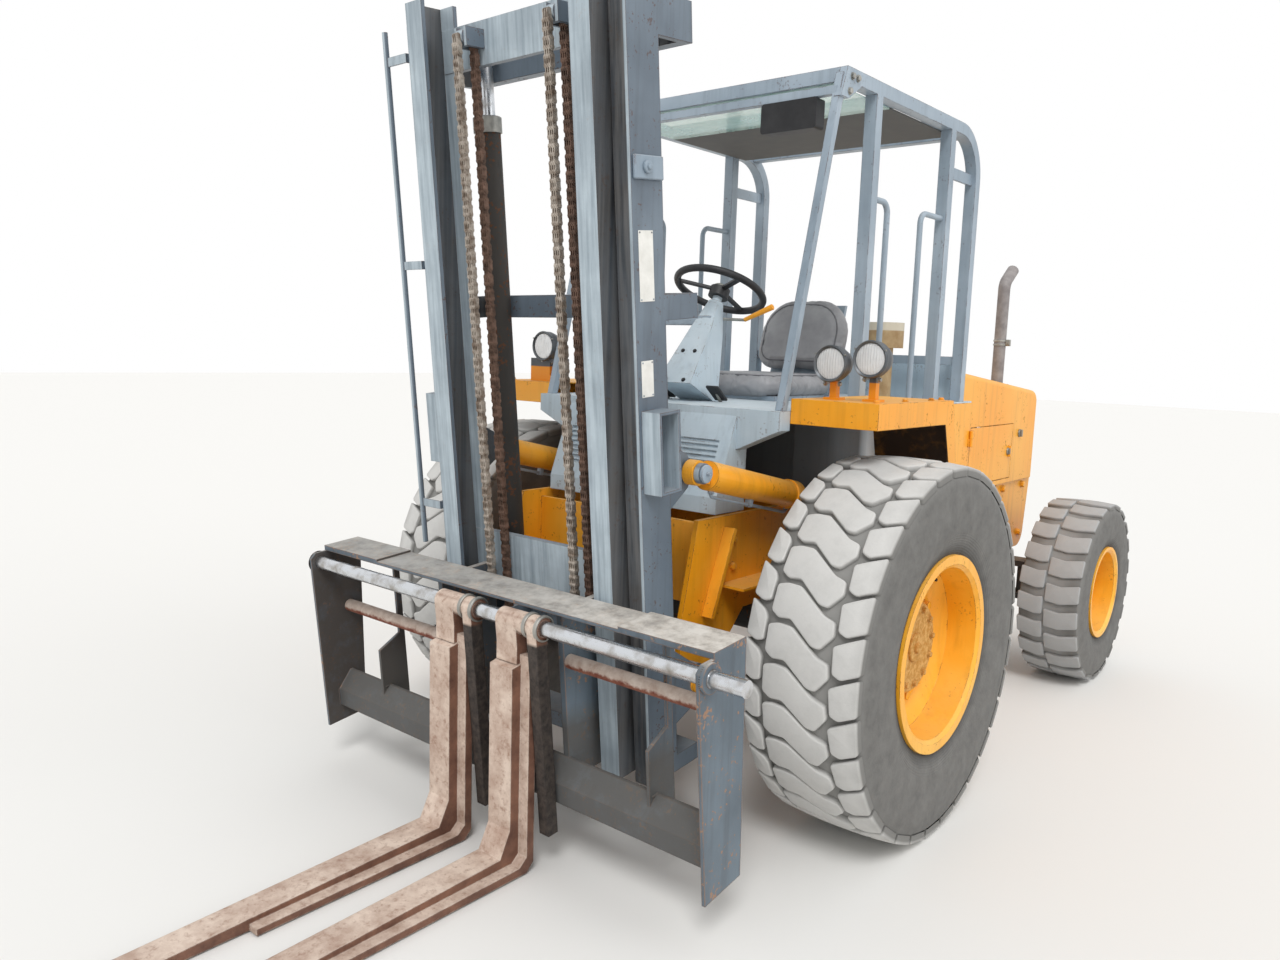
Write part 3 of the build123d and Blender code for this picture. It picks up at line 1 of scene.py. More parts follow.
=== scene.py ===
"""Finishes and fittings for a rough terrain forklift: paint, rubber, seat, chains, glass, lamps and bolts."""

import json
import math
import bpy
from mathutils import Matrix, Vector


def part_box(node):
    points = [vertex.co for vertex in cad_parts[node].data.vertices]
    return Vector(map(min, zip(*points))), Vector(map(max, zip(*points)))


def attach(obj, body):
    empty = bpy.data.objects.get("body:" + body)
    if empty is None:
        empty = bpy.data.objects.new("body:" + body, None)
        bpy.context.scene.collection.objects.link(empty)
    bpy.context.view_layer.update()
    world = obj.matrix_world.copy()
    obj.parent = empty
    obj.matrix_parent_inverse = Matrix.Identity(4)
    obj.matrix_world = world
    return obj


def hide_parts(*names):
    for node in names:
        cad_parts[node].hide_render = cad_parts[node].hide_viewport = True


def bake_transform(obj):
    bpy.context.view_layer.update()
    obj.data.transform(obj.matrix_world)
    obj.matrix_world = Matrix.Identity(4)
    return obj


bl_info = {
    "name": "Rough terrain forklift",
    "version": (1, 0, 0),
    "blender": (4, 5, 0),
    "location": "3D View > Sidebar > Forklift",
    "description": "Finishes and fittings for the rough terrain forklift",
    "category": "Object",
}

from functools import cached_property

import bmesh
import bpy
from bpy.props import FloatProperty, FloatVectorProperty, IntProperty, PointerProperty
from mathutils import Matrix, Vector
from mathutils.bvhtree import BVHTree

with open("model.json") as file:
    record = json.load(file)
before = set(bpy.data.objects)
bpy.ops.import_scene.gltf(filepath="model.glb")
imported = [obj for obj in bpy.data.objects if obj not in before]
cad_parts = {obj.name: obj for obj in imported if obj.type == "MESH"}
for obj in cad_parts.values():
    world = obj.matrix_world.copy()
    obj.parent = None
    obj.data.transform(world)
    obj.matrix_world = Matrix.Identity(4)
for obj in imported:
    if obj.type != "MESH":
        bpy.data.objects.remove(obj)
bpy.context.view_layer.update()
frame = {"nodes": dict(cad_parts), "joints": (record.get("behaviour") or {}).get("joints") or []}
joints = {joint["name"]: joint for joint in frame["joints"]}

X = Vector((1, 0, 0))
Y = Vector((0, 1, 0))
Z = Vector((0, 0, 1))
left_right = ((1, "left"), (-1, "right"))
far_out = 0.9  # Beside the body: lines are cast in from there to find its surface

# The mast's own directions: across, back and up, from its foot pin
mast_pin = Vector(joints["mast_tilt"]["pos_m"])
mast_up = Vector(joints["mast_lift"]["axis"]).normalized()
mast_back = mast_up.cross(X).normalized()
mast_place = Matrix((X, mast_back, mast_up)).transposed().to_4x4()
mast_place.translation = mast_pin
axle_y = joints["front_left_roll"]["pos_m"][1]
deck_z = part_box("seat_base")[0].z


def on_mast(across, back, up):
    """A point given in the mast's own directions."""
    return mast_place @ Vector((across, back, up))


def points_in_mast(node):
    """A CAD node's points in the mast's own directions."""
    inverse = mast_place.inverted()
    return [inverse @ vert.co for vert in frame["nodes"][node].data.vertices]


def linear(hex_colour):
    """Linear RGBA of an sRGB hex colour."""
    channels = [int(hex_colour[i:i + 2], 16) / 255 for i in (0, 2, 4)]
    return tuple(c / 12.92 if c <= 0.04045 else ((c + 0.055) / 1.055) ** 2.4 for c in channels) + (1.0,)


def colour_prop(label, text, hex_colour):
    """A colour that the user can change."""
    return FloatVectorProperty(
        name=label, description=text, subtype="COLOR", size=3, min=0, max=1, default=linear(hex_colour)[:3],
    )


class ForkliftPaint(bpy.types.PropertyGroup):
    yellow: colour_prop("Body yellow", "Enamel on hood, tanks, rims and fenders", "F2A01A")
    grey: colour_prop("Cab grey", "Enamel on canopy and cowl", "8A99A6")
    mast: colour_prop("Mast grey", "Enamel on the mast rails", "5E6A76")
    carriage: colour_prop("Carriage grey", "Enamel on the carriage", "56626C")
    rubber: colour_prop("Rubber", "Tyre sidewalls", "5E5D5B")


class ForkliftTyres(bpy.types.PropertyGroup):
    front_pitches: IntProperty(
        name="Front lugs", description="Lugs round a front tyre", default=32, min=8,
    )
    rear_pitches: IntProperty(
        name="Rear lugs", description="Bars round a rear tyre, each side", default=22, min=8,
    )
    front_depth: FloatProperty(
        name="Front lug depth", description="Height of a worn front lug", default=0.022, unit="LENGTH",
    )
    rear_depth: FloatProperty(
        name="Rear lug depth", description="Height of a worn rear bar", default=0.016, unit="LENGTH",
    )


class ForkliftChains(bpy.types.PropertyGroup):
    pitch: FloatProperty(
        name="Chain pitch", description="Pin to pin", default=0.0254, unit="LENGTH", min=0.01,
    )
    plate: FloatProperty(
        name="Plate height", description="Width of a link plate seen from the side", default=0.022,
        unit="LENGTH",
    )


# Materials
class Nodes:
    """A node tree that is written from empty."""

    def __init__(self, owner):
        owner.use_nodes = True
        self.tree = owner.node_tree
        self.tree.nodes.clear()

    def feed(self, node, inputs):
        """Sets a node's inputs, by name or in order, each to a value, a hex colour, an output or a node."""
        if isinstance(inputs, dict):
            pairs = [(node.inputs[name], value) for name, value in inputs.items()]
        else:
            pairs = zip([socket for socket in node.inputs if socket.enabled], inputs)
        for socket, value in pairs:
            if isinstance(value, bpy.types.Node):
                value = next(output for output in value.outputs if output.enabled)
            if isinstance(value, bpy.types.NodeSocket):
                self.tree.links.new(value, socket)
            else:
                socket.default_value = linear(value) if isinstance(value, str) else value
        return node

    def add(self, kind, inputs=(), **settings):
        """Adds a shader node with its settings and links."""
        made = self.tree.nodes.new("ShaderNode" + kind)
        for name, value in settings.items():
            setattr(made, name, value)
        return self.feed(made, inputs)


class Finish(Nodes):
    """A material, with what its patterns read from the surface."""

    def __init__(self, name):
        self.material = bpy.data.materials.new(name)
        super().__init__(self.material)
        self.shader = self.add("BsdfPrincipled")
        self.add("OutputMaterial", {"Surface": self.shader})

    @cached_property
    def place(self):
        return self.add("TexCoord").outputs["Object"]

    @cached_property
    def normal(self):
        return self.add("NewGeometry").outputs["Normal"]

    @cached_property
    def spot(self):
        return self.add("SeparateXYZ", (self.place,)).outputs

    @cached_property
    def facing(self):
        return self.add("SeparateXYZ", (self.normal,)).outputs

    def mottled(self, pattern, start, end, under, over, most=1.0):
        """One colour turning to another as a pattern rises from start to end."""
        share = self.add("MapRange", (pattern, start, end, 0.0, most))
        return self.add("Mix", (share, under, over), data_type="RGBA")

    def lay_over(self, shares, colour, rough=0.85):
        """Mixes a colour and its roughness over what the finish has, where all the shares meet."""
        share = shares[0]
        for other in shares[1:]:
            share = self.add("Math", (share, other), operation="MULTIPLY")
        under = [self.shader.inputs[name].links[0].from_socket for name in ("Base Color", "Roughness")]
        self.feed(self.shader, {
            "Base Color": self.add("Mix", (share, under[0], colour), data_type="RGBA"),
            "Roughness": self.add("Mix", (share, under[1], rough)),
        })
        return self

    def from_axle(self, centre):
        """Distance from a wheel's axle."""
        centred = self.add("VectorMath", (self.place, (0.0, centre.y, centre.z)), operation="SUBTRACT")
        flat = self.add("VectorMath", (centred, (0.0, 1.0, 1.0)), operation="MULTIPLY")
        return self.add("VectorMath", (flat,), operation="LENGTH")


def repeats(millimetres):
    """The scale at which a pattern's spots are about that size."""
    return 1000 / millimetres


def paint_of(part):
    """The user's colour for a part."""
    return (*getattr(bpy.context.scene.forklift_paint, part), 1.0)


def weathered(name, paint, faded, grime, rust, dust, top_dust=0.5, chips=0.5, rusting=0.3, streaks=0.35,
              gloss=0.42, edge=0.004):
    """Enamel on steel outdoors: it fades in patches, chips to rust at the edges, and takes dust on top.

    Dust, chips, rusting and streaks run from none at 0 to all over at 1. Gloss is the clean paint's
    roughness, and edge is how wide an edge wears, in metres.
    """
    skin = Finish(name)
    patches = skin.add("TexNoise", (skin.place, repeats(476.2), 4.0, 0.6))
    cloud = skin.add("TexNoise", (skin.place, repeats(83.33), 6.0, 0.62))
    # Dust and orange peel are nearer 2 mm, and are drawn coarser so that they show
    grit = skin.add("TexNoise", (skin.place, repeats(11.765), 3.0, 0.55))
    down = (repeats(38.46), repeats(38.46), repeats(769.2))
    drawn = skin.add("Mapping", {"Vector": skin.place, "Scale": down})
    runs = skin.add("TexNoise", (drawn, 1.0, 5.0, 0.6))
    colour = skin.mottled(patches, 0.38, 0.68, paint, faded)
    colour = skin.mottled(runs, 0.5, 0.78, colour, grime, streaks)
    rounded = skin.add("Bevel", {"Radius": edge}, samples=4)
    bend = skin.add("VectorMath", (rounded, skin.normal), operation="DOT_PRODUCT")
    ragged = skin.add("MapRange", (cloud, 0.62 - 0.3 * chips, 0.66 - 0.22 * chips))
    worn = skin.add("Math", (skin.add("MapRange", (bend, 0.995, 0.9)), ragged), operation="MULTIPLY")
    both = skin.add("Math", (cloud, grit))
    pits = skin.add("MapRange", (both, 1.26 - 0.25 * rusting, 1.3 - 0.2 * rusting))
    pits = skin.add("Math", (pits, min(1.0, rusting * 2)), operation="MULTIPLY")
    bare = skin.add("Math", (worn, pits), operation="MAXIMUM")
    colour = skin.add("Mix", (bare, colour, rust), data_type="RGBA")
    flat = skin.add("MapRange", (skin.facing["Z"], 0.3, 0.95))
    patchy = skin.add("MapRange", (cloud, 0.25, 0.6, 0.3 * top_dust, top_dust))
    settled = skin.add("Math", (flat, patchy), operation="MULTIPLY")
    dull = skin.add("Math", (bare, settled), operation="MAXIMUM")
    skin.feed(skin.shader, {
        "Base Color": skin.add("Mix", (settled, colour, dust), data_type="RGBA"),
        "Roughness": skin.add("MapRange", (dull, 0.0, 0.8, gloss, 0.86)),
        "Normal": skin.add("Bump", {"Strength": 0.35, "Distance": 0.0012, "Height": grit, "Normal": rounded}),
    })
    return skin


# Alkyd enamel sprayed on sheet steel: warm yellow at half gloss, paler where the sun has had it
def yellow_enamel(name="yellow_enamel"):
    return weathered(
        name, paint_of("yellow"), "F4AE36", "A86E16", "6B3B1E", "D6B87C",
        top_dust=0.4, chips=0.55, rusting=0.25, gloss=0.36,
    )


# Enamel sprayed on pressed rims: cleaner than the body, with road dust and rust over the hub in its middle
def rim_enamel(name, centre, hub_r):
    skin = weathered(
        name, "F2A81E", "F6BC48", "B27C22", "6B3B1E", "D6B87C",
        top_dust=0.3, chips=0.5, rusting=0.2, gloss=0.34,
    )
    cloud = skin.add("TexNoise", (skin.place, repeats(18.182), 6.0, 0.7))
    near = skin.add("MapRange", (skin.from_axle(centre), hub_r + 0.012, hub_r - 0.012))
    patchy = skin.add("MapRange", (cloud, 0.2, 0.5, 0.65, 1.0))
    return skin.lay_over((near, patchy), skin.mottled(cloud, 0.4, 0.6, "A9762F", "D3A560"))


# Enamel sprayed on welded tube: blue grey and chalky, with dust on what looks up
def cab_enamel():
    return weathered(
        "cab_enamel", paint_of("grey"), "A3B1BD", "59646E", "5A3A28", "C3C7C8",
        top_dust=0.45, chips=0.5, rusting=0.2, gloss=0.4,
    )


# The same enamel bleached by the sun: pale blue on console, cowl and floor
def bleached_enamel(name="bleached_enamel"):
    return weathered(
        name, "AEC0CC", "C4D2DB", "6C7880", "5A3A28", "D2D6D6",
        top_dust=0.5, chips=0.5, rusting=0.2, gloss=0.38,
    )


# Bleached enamel on the tub under the floor, with painted shade, near black, where it stands under the fender
# beside the front tyres
def tub_enamel(floor_z, reach_y):
    skin = bleached_enamel("tub_enamel")
    under = skin.add("MapRange", (skin.spot["Z"], floor_z - 0.02, floor_z - 0.06))
    in_reach = skin.add("MapRange", (skin.spot["Y"], reach_y + 0.08, reach_y))
    # Painted shade: near black low on the tub, beside the front tyres under the fender
    return skin.lay_over((under, in_reach, 0.9), "2C2A29")


# Yellow enamel on the fenders, with painted shade and mud, dark, on the faces that look down or ahead at the
# tyre
def fender_enamel():
    skin = yellow_enamel("fender_enamel")
    cloud = skin.add("TexNoise", (skin.place, repeats(111.1), 6.0, 0.7))
    behind = skin.add("MapRange", (skin.spot["Y"], axle_y + 0.1, axle_y + 0.14))
    ahead = skin.add("MapRange", (skin.facing["Y"], -0.2, -0.5))
    ahead = skin.add("Math", (ahead, behind), operation="MULTIPLY")
    below = skin.add("MapRange", (skin.facing["Z"], -0.3, -0.6))
    at_tyre = skin.add("Math", (below, ahead), operation="MAXIMUM")
    # Painted shade and mud: dark on the faces under the fender and on those looking ahead at the tyre
    return skin.lay_over((at_tyre, skin.add("MapRange", (cloud, 0.25, 0.5, 0.7, 1.0))), "3A2A1E")


# Enamel on flame-cut plate: chipped all over, with painted shade on the faces that look inward, darker low
# down, rubbed to cream on top
def carriage_enamel():
    skin = weathered(
        "carriage_enamel", paint_of("carriage"), "6B7984", "35302D", "9A7A64", "8F8980",
        top_dust=0.5, chips=1.0, rusting=0.5, streaks=0.45, gloss=0.5, edge=0.006,
    )
    cloud = skin.add("TexNoise", (skin.place, repeats(71.43), 7.0, 0.7))
    # Painted shade: dark brown on the faces that look inward, between the side plates
    inward = skin.add("Math", (skin.spot["X"], skin.facing["X"]), operation="MULTIPLY")
    inward = skin.add("MapRange", (inward, -0.2, -0.5))
    skin.lay_over((inward, skin.add("MapRange", (cloud, 0.25, 0.5, 0.5, 0.9))), "4A423C", 0.7)
    # Darker low down, inside the side plates
    low = skin.add("MapRange", (skin.spot["Z"], 0.55, 0.47))
    patchy = skin.add("MapRange", (cloud, 0.25, 0.5, 0.55, 0.85))
    across = skin.add("Math", (skin.spot["X"],), operation="ABSOLUTE")
    skin.lay_over((low, patchy, skin.add("MapRange", (across, 0.936, 0.93))), "55524E", 0.75)
    upward = skin.add("MapRange", (skin.facing["Z"], 0.6, 0.9))
    high = skin.add("MapRange", (skin.spot["Z"], 0.86, 0.88))
    left_end = skin.add("MapRange", (skin.spot["X"], -0.2, 0.85, 0.45, 0.95))
    patchy = skin.add("MapRange", (cloud, 0.25, 0.5, 0.6, 1.0))
    cream = skin.mottled(cloud, 0.35, 0.62, "A8A096", "D6D1C9")
    return skin.lay_over((upward, high, left_end, patchy), cream)


# Enamel on rolled rails: painted light, pale on the faces that look ahead and darker on the sides, with black
# grease where the rollers run
def mast_enamel(name, pale_edge, grease_start):
    skin = weathered(
        name, paint_of("mast"), "74818D", "35383B", "5E4030", "A5ACB0",
        top_dust=0.5, chips=0.8, rusting=0.3, streaks=0.4, gloss=0.4,
    )
    across = skin.add("Math", (skin.spot["X"],), operation="ABSOLUTE")
    ahead = skin.add("MapRange", (skin.facing["Y"], -0.7, -0.9))
    sideways = skin.add("Math", (skin.facing["X"],), operation="ABSOLUTE")
    greased = skin.add("MapRange", (sideways, 0.7, 0.9))
    up_rail = (repeats(18.182), repeats(33.333), repeats(2000))
    drawn = skin.add("Mapping", {"Vector": skin.place, "Scale": up_rail})
    line = skin.add("TexNoise", (drawn, 1.0, 3.0, 0.6))
    cloud = skin.add("TexNoise", (skin.place, repeats(200), 5.0, 0.6))
    # Painted light: pale on the faces that look ahead, the sides left darker
    pale = [ahead, skin.add("MapRange", (cloud, 0.25, 0.6, 0.95, 0.6))]
    black = [skin.add("MapRange", (across, grease_start, grease_start + 0.02))]
    if pale_edge:
        # Grease covers the front faces too, up to the rail's pale outer flange
        pale.append(skin.add("MapRange", (across, pale_edge, pale_edge + 0.004)))
        black.append(skin.add("MapRange", (across, pale_edge + 0.004, pale_edge)))
        greased = skin.add("Math", (ahead, greased), operation="MAXIMUM")
    black += [greased, skin.add("MapRange", (cloud, 0.2, 0.55, 0.95, 0.7))]
    skin.lay_over(pale, skin.mottled(line, 0.4, 0.7, "C2D0D8", "98A6AF"), 0.45)
    return skin.lay_over(black, skin.mottled(line, 0.38, 0.62, "2A2725", "5B5753"), 0.38)


# Forged steel with the paint long gone: dusty pale tan where it looks up or ahead, rust down the sides
def fork_steel(name, hanger_x):
    skin = Finish(name)
    cloud = skin.add("TexNoise", (skin.place, repeats(111.1), 8.0, 0.7))
    speckle = skin.add("TexNoise", (skin.place, repeats(20.833), 5.0, 0.7))
    grit = skin.add("TexNoise", (skin.place, repeats(6.667), 3.0, 0.55))
    rusty = skin.mottled(cloud, 0.35, 0.65, "5A3C30", "8A6350")
    rubbed = skin.mottled(cloud, 0.35, 0.62, "B09686", "DAC8B9")
    rubbed = skin.mottled(speckle, 0.52, 0.7, rubbed, "87604B", 0.6)
    upward = skin.add("MapRange", (skin.facing["Z"], 0.4, 0.8))
    ahead = skin.add("MapRange", (skin.facing["Y"], -0.5, -0.9))
    shown = skin.add("Math", (upward, ahead), operation="MAXIMUM")
    colour = skin.add("Mix", (shown, rusty, rubbed), data_type="RGBA")
    rounded = skin.add("Bevel", {"Radius": 0.006}, samples=4)
    bend = skin.add("VectorMath", (rounded, skin.normal), operation="DOT_PRODUCT")
    corner = skin.add("MapRange", (bend, 0.995, 0.88))
    bright = skin.add("Math", (corner, skin.add("MapRange", (cloud, 0.35, 0.6))), operation="MULTIPLY")
    colour = skin.add("Mix", (bright, colour, "DCCDBE"), data_type="RGBA")
    beside = skin.add("MapRange", (skin.spot["X"], hanger_x - 0.002, hanger_x + 0.002))
    below = skin.add("MapRange", (skin.spot["Z"], 0.785, 0.775))
    hanger = skin.add("Math", (beside, below), operation="MULTIPLY")
    # Painted shade: the hanger, on the fork's shadow side, near black
    shaded_hanger = skin.mottled(speckle, 0.35, 0.65, "25211F", "4A413B")
    skin.feed(skin.shader, {
        "Base Color": skin.add("Mix", (hanger, colour, shaded_hanger), data_type="RGBA"),
        "Metallic": 0.1,
        "Roughness": skin.add("MapRange", (cloud, 0.3, 0.7, 0.55, 0.88)),
        "Normal": skin.add("Bump", {"Strength": 0.5, "Distance": 0.002, "Height": grit, "Normal": rounded}),
    })
    return skin


# Drawn steel tube in worn primer: pale tan on top, raw rust below
def rusty_tube():
    skin = Finish("rusty_tube")
    cloud = skin.add("TexNoise", (skin.place, repeats(38.46), 6.0, 0.7))
    grit = skin.add("TexNoise", (skin.place, repeats(6.667), 3.0, 0.55))
    below = skin.mottled(cloud, 0.35, 0.65, "6E3324", "94614C")
    top = skin.mottled(cloud, 0.35, 0.65, "B09A8C", "CFC0B4")
    ragged = skin.add("Math", (skin.facing["Z"], skin.add("MapRange", (cloud, 0.3, 0.7, -0.3, 0.3))))
    skin.feed(skin.shader, {
        "Base Color": skin.mottled(ragged, -0.35, 0.05, below, top),
        "Roughness": 0.78,
        "Normal": skin.add("Bump", {"Strength": 0.4, "Distance": 0.001, "Height": grit}),
    })
    return skin


# Black paint on castings, under oil and road dust: nearly matt, brown on top
def greasy_steel():
    return weathered(
        "greasy_steel", "2B2926", "3B3631", "171513", "5B3A26", "8A7A66",
        top_dust=0.7, chips=0.4, rusting=0.7, gloss=0.6,
    )


# Hard chromed and polished rod: mirrors the floor, dulled by a film of oil and dust
def chromed_rod():
    skin = Finish("chromed_rod")
    film = skin.add("TexNoise", (skin.place, repeats(45.45), 5.0, 0.55))
    skin.feed(skin.shader, {
        "Base Color": skin.mottled(film, 0.45, 0.8, "D3D6DA", "8E8578"),
        "Metallic": 1.0,
        "Roughness": skin.add("MapRange", (film, 0.3, 0.8, 0.14, 0.5)),
    })
    return skin


# Moulded tyre rubber: dark matt walls with fine rings, and pale road dust on the worn tread
def tyre_rubber(name, centre, bead_r, base_r, tread_r, tread_dust):
    skin = Finish(name)
    radius = skin.from_axle(centre)
    cloud = skin.add("TexNoise", (skin.place, repeats(62.5), 8.0, 0.75))
    grit = skin.add("TexNoise", (skin.place, repeats(6.25), 3.0, 0.55))
    side = skin.mottled(cloud, 0.3, 0.75, paint_of("rubber"), "787774")
    side = skin.mottled(radius, bead_r + 0.05, bead_r + 0.012, side, "2E2E2E", 0.6)
    floor = skin.mottled(radius, base_r - 0.05, base_r - 0.012, side, "7E7D7A", 0.75)
    on_tread = skin.add("MapRange", (radius, base_r - 0.006, tread_r - 0.01))
    patchy = skin.add("MapRange", (cloud, 0.2, 0.55, 0.8, 1.0))
    dusty = skin.add("Math", (on_tread, patchy), operation="MULTIPLY")
    # Rings 9 mm apart, on the wall beside the bead
    rings = skin.add("Math", (skin.add("Math", (radius, 700.0), operation="MULTIPLY"),), operation="SINE")
    on_wall = skin.add("MapRange", (radius, bead_r + 0.085, bead_r + 0.07, 0.0, 0.6))
    relief = skin.add("Math", (grit, skin.add("Math", (rings, on_wall), operation="MULTIPLY")))
    skin.feed(skin.shader, {
        "Base Color": skin.add("Mix", (dusty, floor, tread_dust), data_type="RGBA"),
        "Roughness": 0.88,
        "Normal": skin.add("Bump", {"Strength": 0.5, "Distance": 0.0015, "Height": relief}),
    })
    return skin


# Embossed vinyl: soft grey, shiny where it is sat on, its 1 mm grain drawn at 2.4 mm so that it shows
def seat_vinyl(name, dark, light):
    skin = Finish(name)
    cloud = skin.add("TexNoise", (skin.place, repeats(142.86), 4.0, 0.55))
    grain = skin.add("TexVoronoi", (skin.place, repeats(2.381)))
    skin.feed(skin.shader, {
        "Base Color": skin.mottled(cloud, 0.35, 0.7, dark, light),
        "Roughness": skin.add("MapRange", (cloud, 0.3, 0.7, 0.38, 0.58)),
        "Normal": skin.add("Bump", {"Strength": 0.25, "Distance": 0.0008, "Height": grain}),
    })
    return skin


def plain(name, low, high, rough, metallic=0.0, size=71.43, grain=14):
    """A moulded, turned or cast surface: clouds of a size in millimetres, and a grain that much finer."""
    skin = Finish(name)
    cloud = skin.add("TexNoise", (skin.place, repeats(size), 5.0, 0.6))
    grit = skin.add("TexNoise", (skin.place, repeats(size / grain), 3.0, 0.55))
    skin.feed(skin.shader, {
        "Base Color": skin.mottled(cloud, 0.35, 0.68, low, high),
        "Metallic": metallic,
        "Roughness": skin.add("MapRange", (cloud, 0.3, 0.7, rough * 0.85, min(1.0, rough * 1.15))),
        "Normal": skin.add("Bump", {"Strength": 0.2, "Distance": 0.0006, "Height": grit}),
    })
    return skin


def split_at(skin, below, above, colour, rough):
    """Paints another colour past a height, upwards or downwards."""
    return skin.lay_over((skin.add("MapRange", (skin.spot["Z"], below, above)),), colour, rough)


# Float glass: the green of its iron, with dust dried on it; a pressed lens has upright flutes as well
def dusty_glass(name, tint, clear, dusty, flutes=0.0):
    skin = Finish(name)
    film = skin.add("MapRange", (skin.add("TexNoise", (skin.place, repeats(200), 6.0, 0.6)), 0.35, 0.75))
    if flutes:
        wave = skin.add("Math", (skin.spot["X"], flutes), operation="MULTIPLY")
        wave = skin.add("Math", (wave,), operation="SINE")
        ridge = skin.add("MapRange", (wave, 0.2, 1.0, 0.0, 0.6))
        film = skin.add("Math", (film, ridge), operation="MAXIMUM")
        relief = skin.add("Bump", {"Strength": 0.6, "Distance": 0.002, "Height": wave})
        skin.feed(skin.shader, {"Normal": relief})
    skin.feed(skin.shader, {
        "Base Color": skin.mottled(film, 0.0, 1.0, tint, "E8EAE6", 0.4),
        "Roughness": skin.add("MapRange", (film, 0.0, 1.0, 0.05, 0.3)),
        "Alpha": skin.add("MapRange", (film, 0.0, 1.0, clear, dusty)),
    })
    return skin


finishes = {}


# Shape helpers
def put(name, data):
    """Adds an object to the scene."""
    made = bpy.data.objects.new(name, data)
    bpy.context.scene.collection.objects.link(made)
    return made


def mesh_of(name, bm):
    """Writes a bmesh to a mesh and frees it."""
    mesh = bpy.data.meshes.new(name)
    bm.to_mesh(mesh)
    bm.free()
    return mesh


def piece(name, bm, finish, body, stands_for=(), smooth=None):
    """Writes a bmesh to an object at the origin that rides on its body."""
    bmesh.ops.recalc_face_normals(bm, faces=bm.faces)
    mesh = mesh_of(name, bm)
    made = put(name, mesh)
    mesh.materials.append(finishes[finish])
    if smooth is not None:
        mesh.shade_smooth()
        with bpy.context.temp_override(object=made, active_object=made, selected_editable_objects=[made]):
            bpy.ops.object.shade_smooth_by_angle(angle=math.radians(smooth))
    if stands_for:
        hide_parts(*stands_for)
    if body:
        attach(made, body)
    return made


def surface(mesh):
    """A mesh as a tree that lines can be cast on."""
    points = [vert.co for vert in mesh.vertices]
    return BVHTree.FromPolygons(points, [face.vertices for face in mesh.polygons])


def meet(node, start, toward):
    """The point where a line first meets a CAD node."""
    point = surface(frame["nodes"][node].data).ray_cast(Vector(start), Vector(toward))[0]
    if point is None:
        raise RuntimeError("no seat on " + node)
    return point


def edges_of(verts):
    """Every edge that meets one of the vertices."""
    return list({edge for vert in verts for edge in vert.link_edges})


def round_off(bm, edges, offset, segments):
    """Bevels edges to a round."""
    bmesh.ops.bevel(
        bm, geom=edges, offset=offset, segments=segments, affect="EDGES", profile=0.5, material=-1,
    )


def block(bm, low, high, place=None, bevel=0.0, segments=2):
    """Box from its low to its high corner, with its edges rounded."""
    low, high = Vector(low), Vector(high)
    shape = Matrix.Translation((low + high) / 2) @ Matrix.Diagonal((*(high - low), 1.0))
    made = bmesh.ops.create_cube(bm, size=1.0, matrix=(place or Matrix()) @ shape)["verts"]
    if bevel:
        round_off(bm, edges_of(made), bevel, segments)


def raise_outline(bm, outline, tall):
    """Prism of an outline's shape; gives the vertices of its foot and of its top."""
    foot = [bm.verts.new((x, y, 0)) for x, y in outline]
    raised = bmesh.ops.extrude_face_region(bm, geom=[bm.faces.new(foot)])["geom"]
    tops = [item for item in raised if isinstance(item, bmesh.types.BMVert)]
    bmesh.ops.translate(bm, verts=tops, vec=(0, 0, tall))
    return foot, tops


def slab(bm, outline, deep, place, bevel, segments=4):
    """Plate of an outline's shape, with the edges of both its faces rounded."""
    foot, tops = raise_outline(bm, outline, deep)
    rims = [edge for edge in edges_of(foot + tops) if abs(edge.verts[0].co.z - edge.verts[1].co.z) < 1e-6]
    round_off(bm, rims, bevel, segments)
    bmesh.ops.transform(bm, matrix=place, verts=bm.verts)


def rounded_outline(low, high, corners, steps=6):
    """Rectangle from low to high with its own radius at each corner, from the low corner round."""
    centres = (
        # corner, and the way in from it
        (low[0], low[1], 1, 1),
        (high[0], low[1], -1, 1),
        (high[0], high[1], -1, -1),
        (low[0], high[1], 1, -1),
    )
    points = []
    for quarter, ((x, y, in_x, in_y), r) in enumerate(zip(centres, corners)):
        for step in range(steps + 1):
            angle = math.pi * (1 + 0.5 * (quarter + step / steps))
            points.append((x + in_x * r + r * math.cos(angle), y + in_y * r + r * math.sin(angle)))
    return points


def turned(axis):
    """Rotation that brings Z to an axis."""
    return Vector(axis).normalized().to_track_quat("Z", "Y").to_matrix().to_4x4()


def rod(bm, start, end, radius, sides=24, end_radius=None, bevel=0.0):
    """Round bar between two points."""
    start, end = Vector(start), Vector(end)
    run = end - start
    if end_radius is None:
        end_radius = radius
    made = bmesh.ops.create_cone(
        bm, cap_ends=True, segments=sides, radius1=radius, radius2=end_radius, depth=run.length,
        matrix=Matrix.Translation((start + end) / 2) @ turned(run),
    )["verts"]
    if bevel:
        rims = [edge for edge in edges_of(made) if any(len(face.verts) > 4 for face in edge.link_faces)]
        round_off(bm, rims, bevel, 2)


def tube(bm, points, radii, sides=10, closed=False):
    """Circles strung along points and bridged to a skin."""
    points = [Vector(point) for point in points]
    last = len(points) - 1
    quarter = Matrix.Rotation(-math.pi / 2, 4, "Z")
    rings = []
    for index, point in enumerate(points):
        after = points[(index + 1) % len(points)] if closed or index < last else point
        before = points[index - 1] if closed or index > 0 else point
        ring = bmesh.ops.create_circle(
            bm, cap_ends=not closed and index in (0, last), segments=sides, radius=radii[index % len(radii)],
            matrix=Matrix.Translation(point) @ turned(after - before) @ quarter,
        )["verts"]
        rings.append(edges_of(ring))
    pairs = list(zip(rings, rings[1:])) + ([(rings[-1], rings[0])] if closed else [])
    for low, high in pairs:
        bmesh.ops.bridge_loops(bm, edges=low + high)


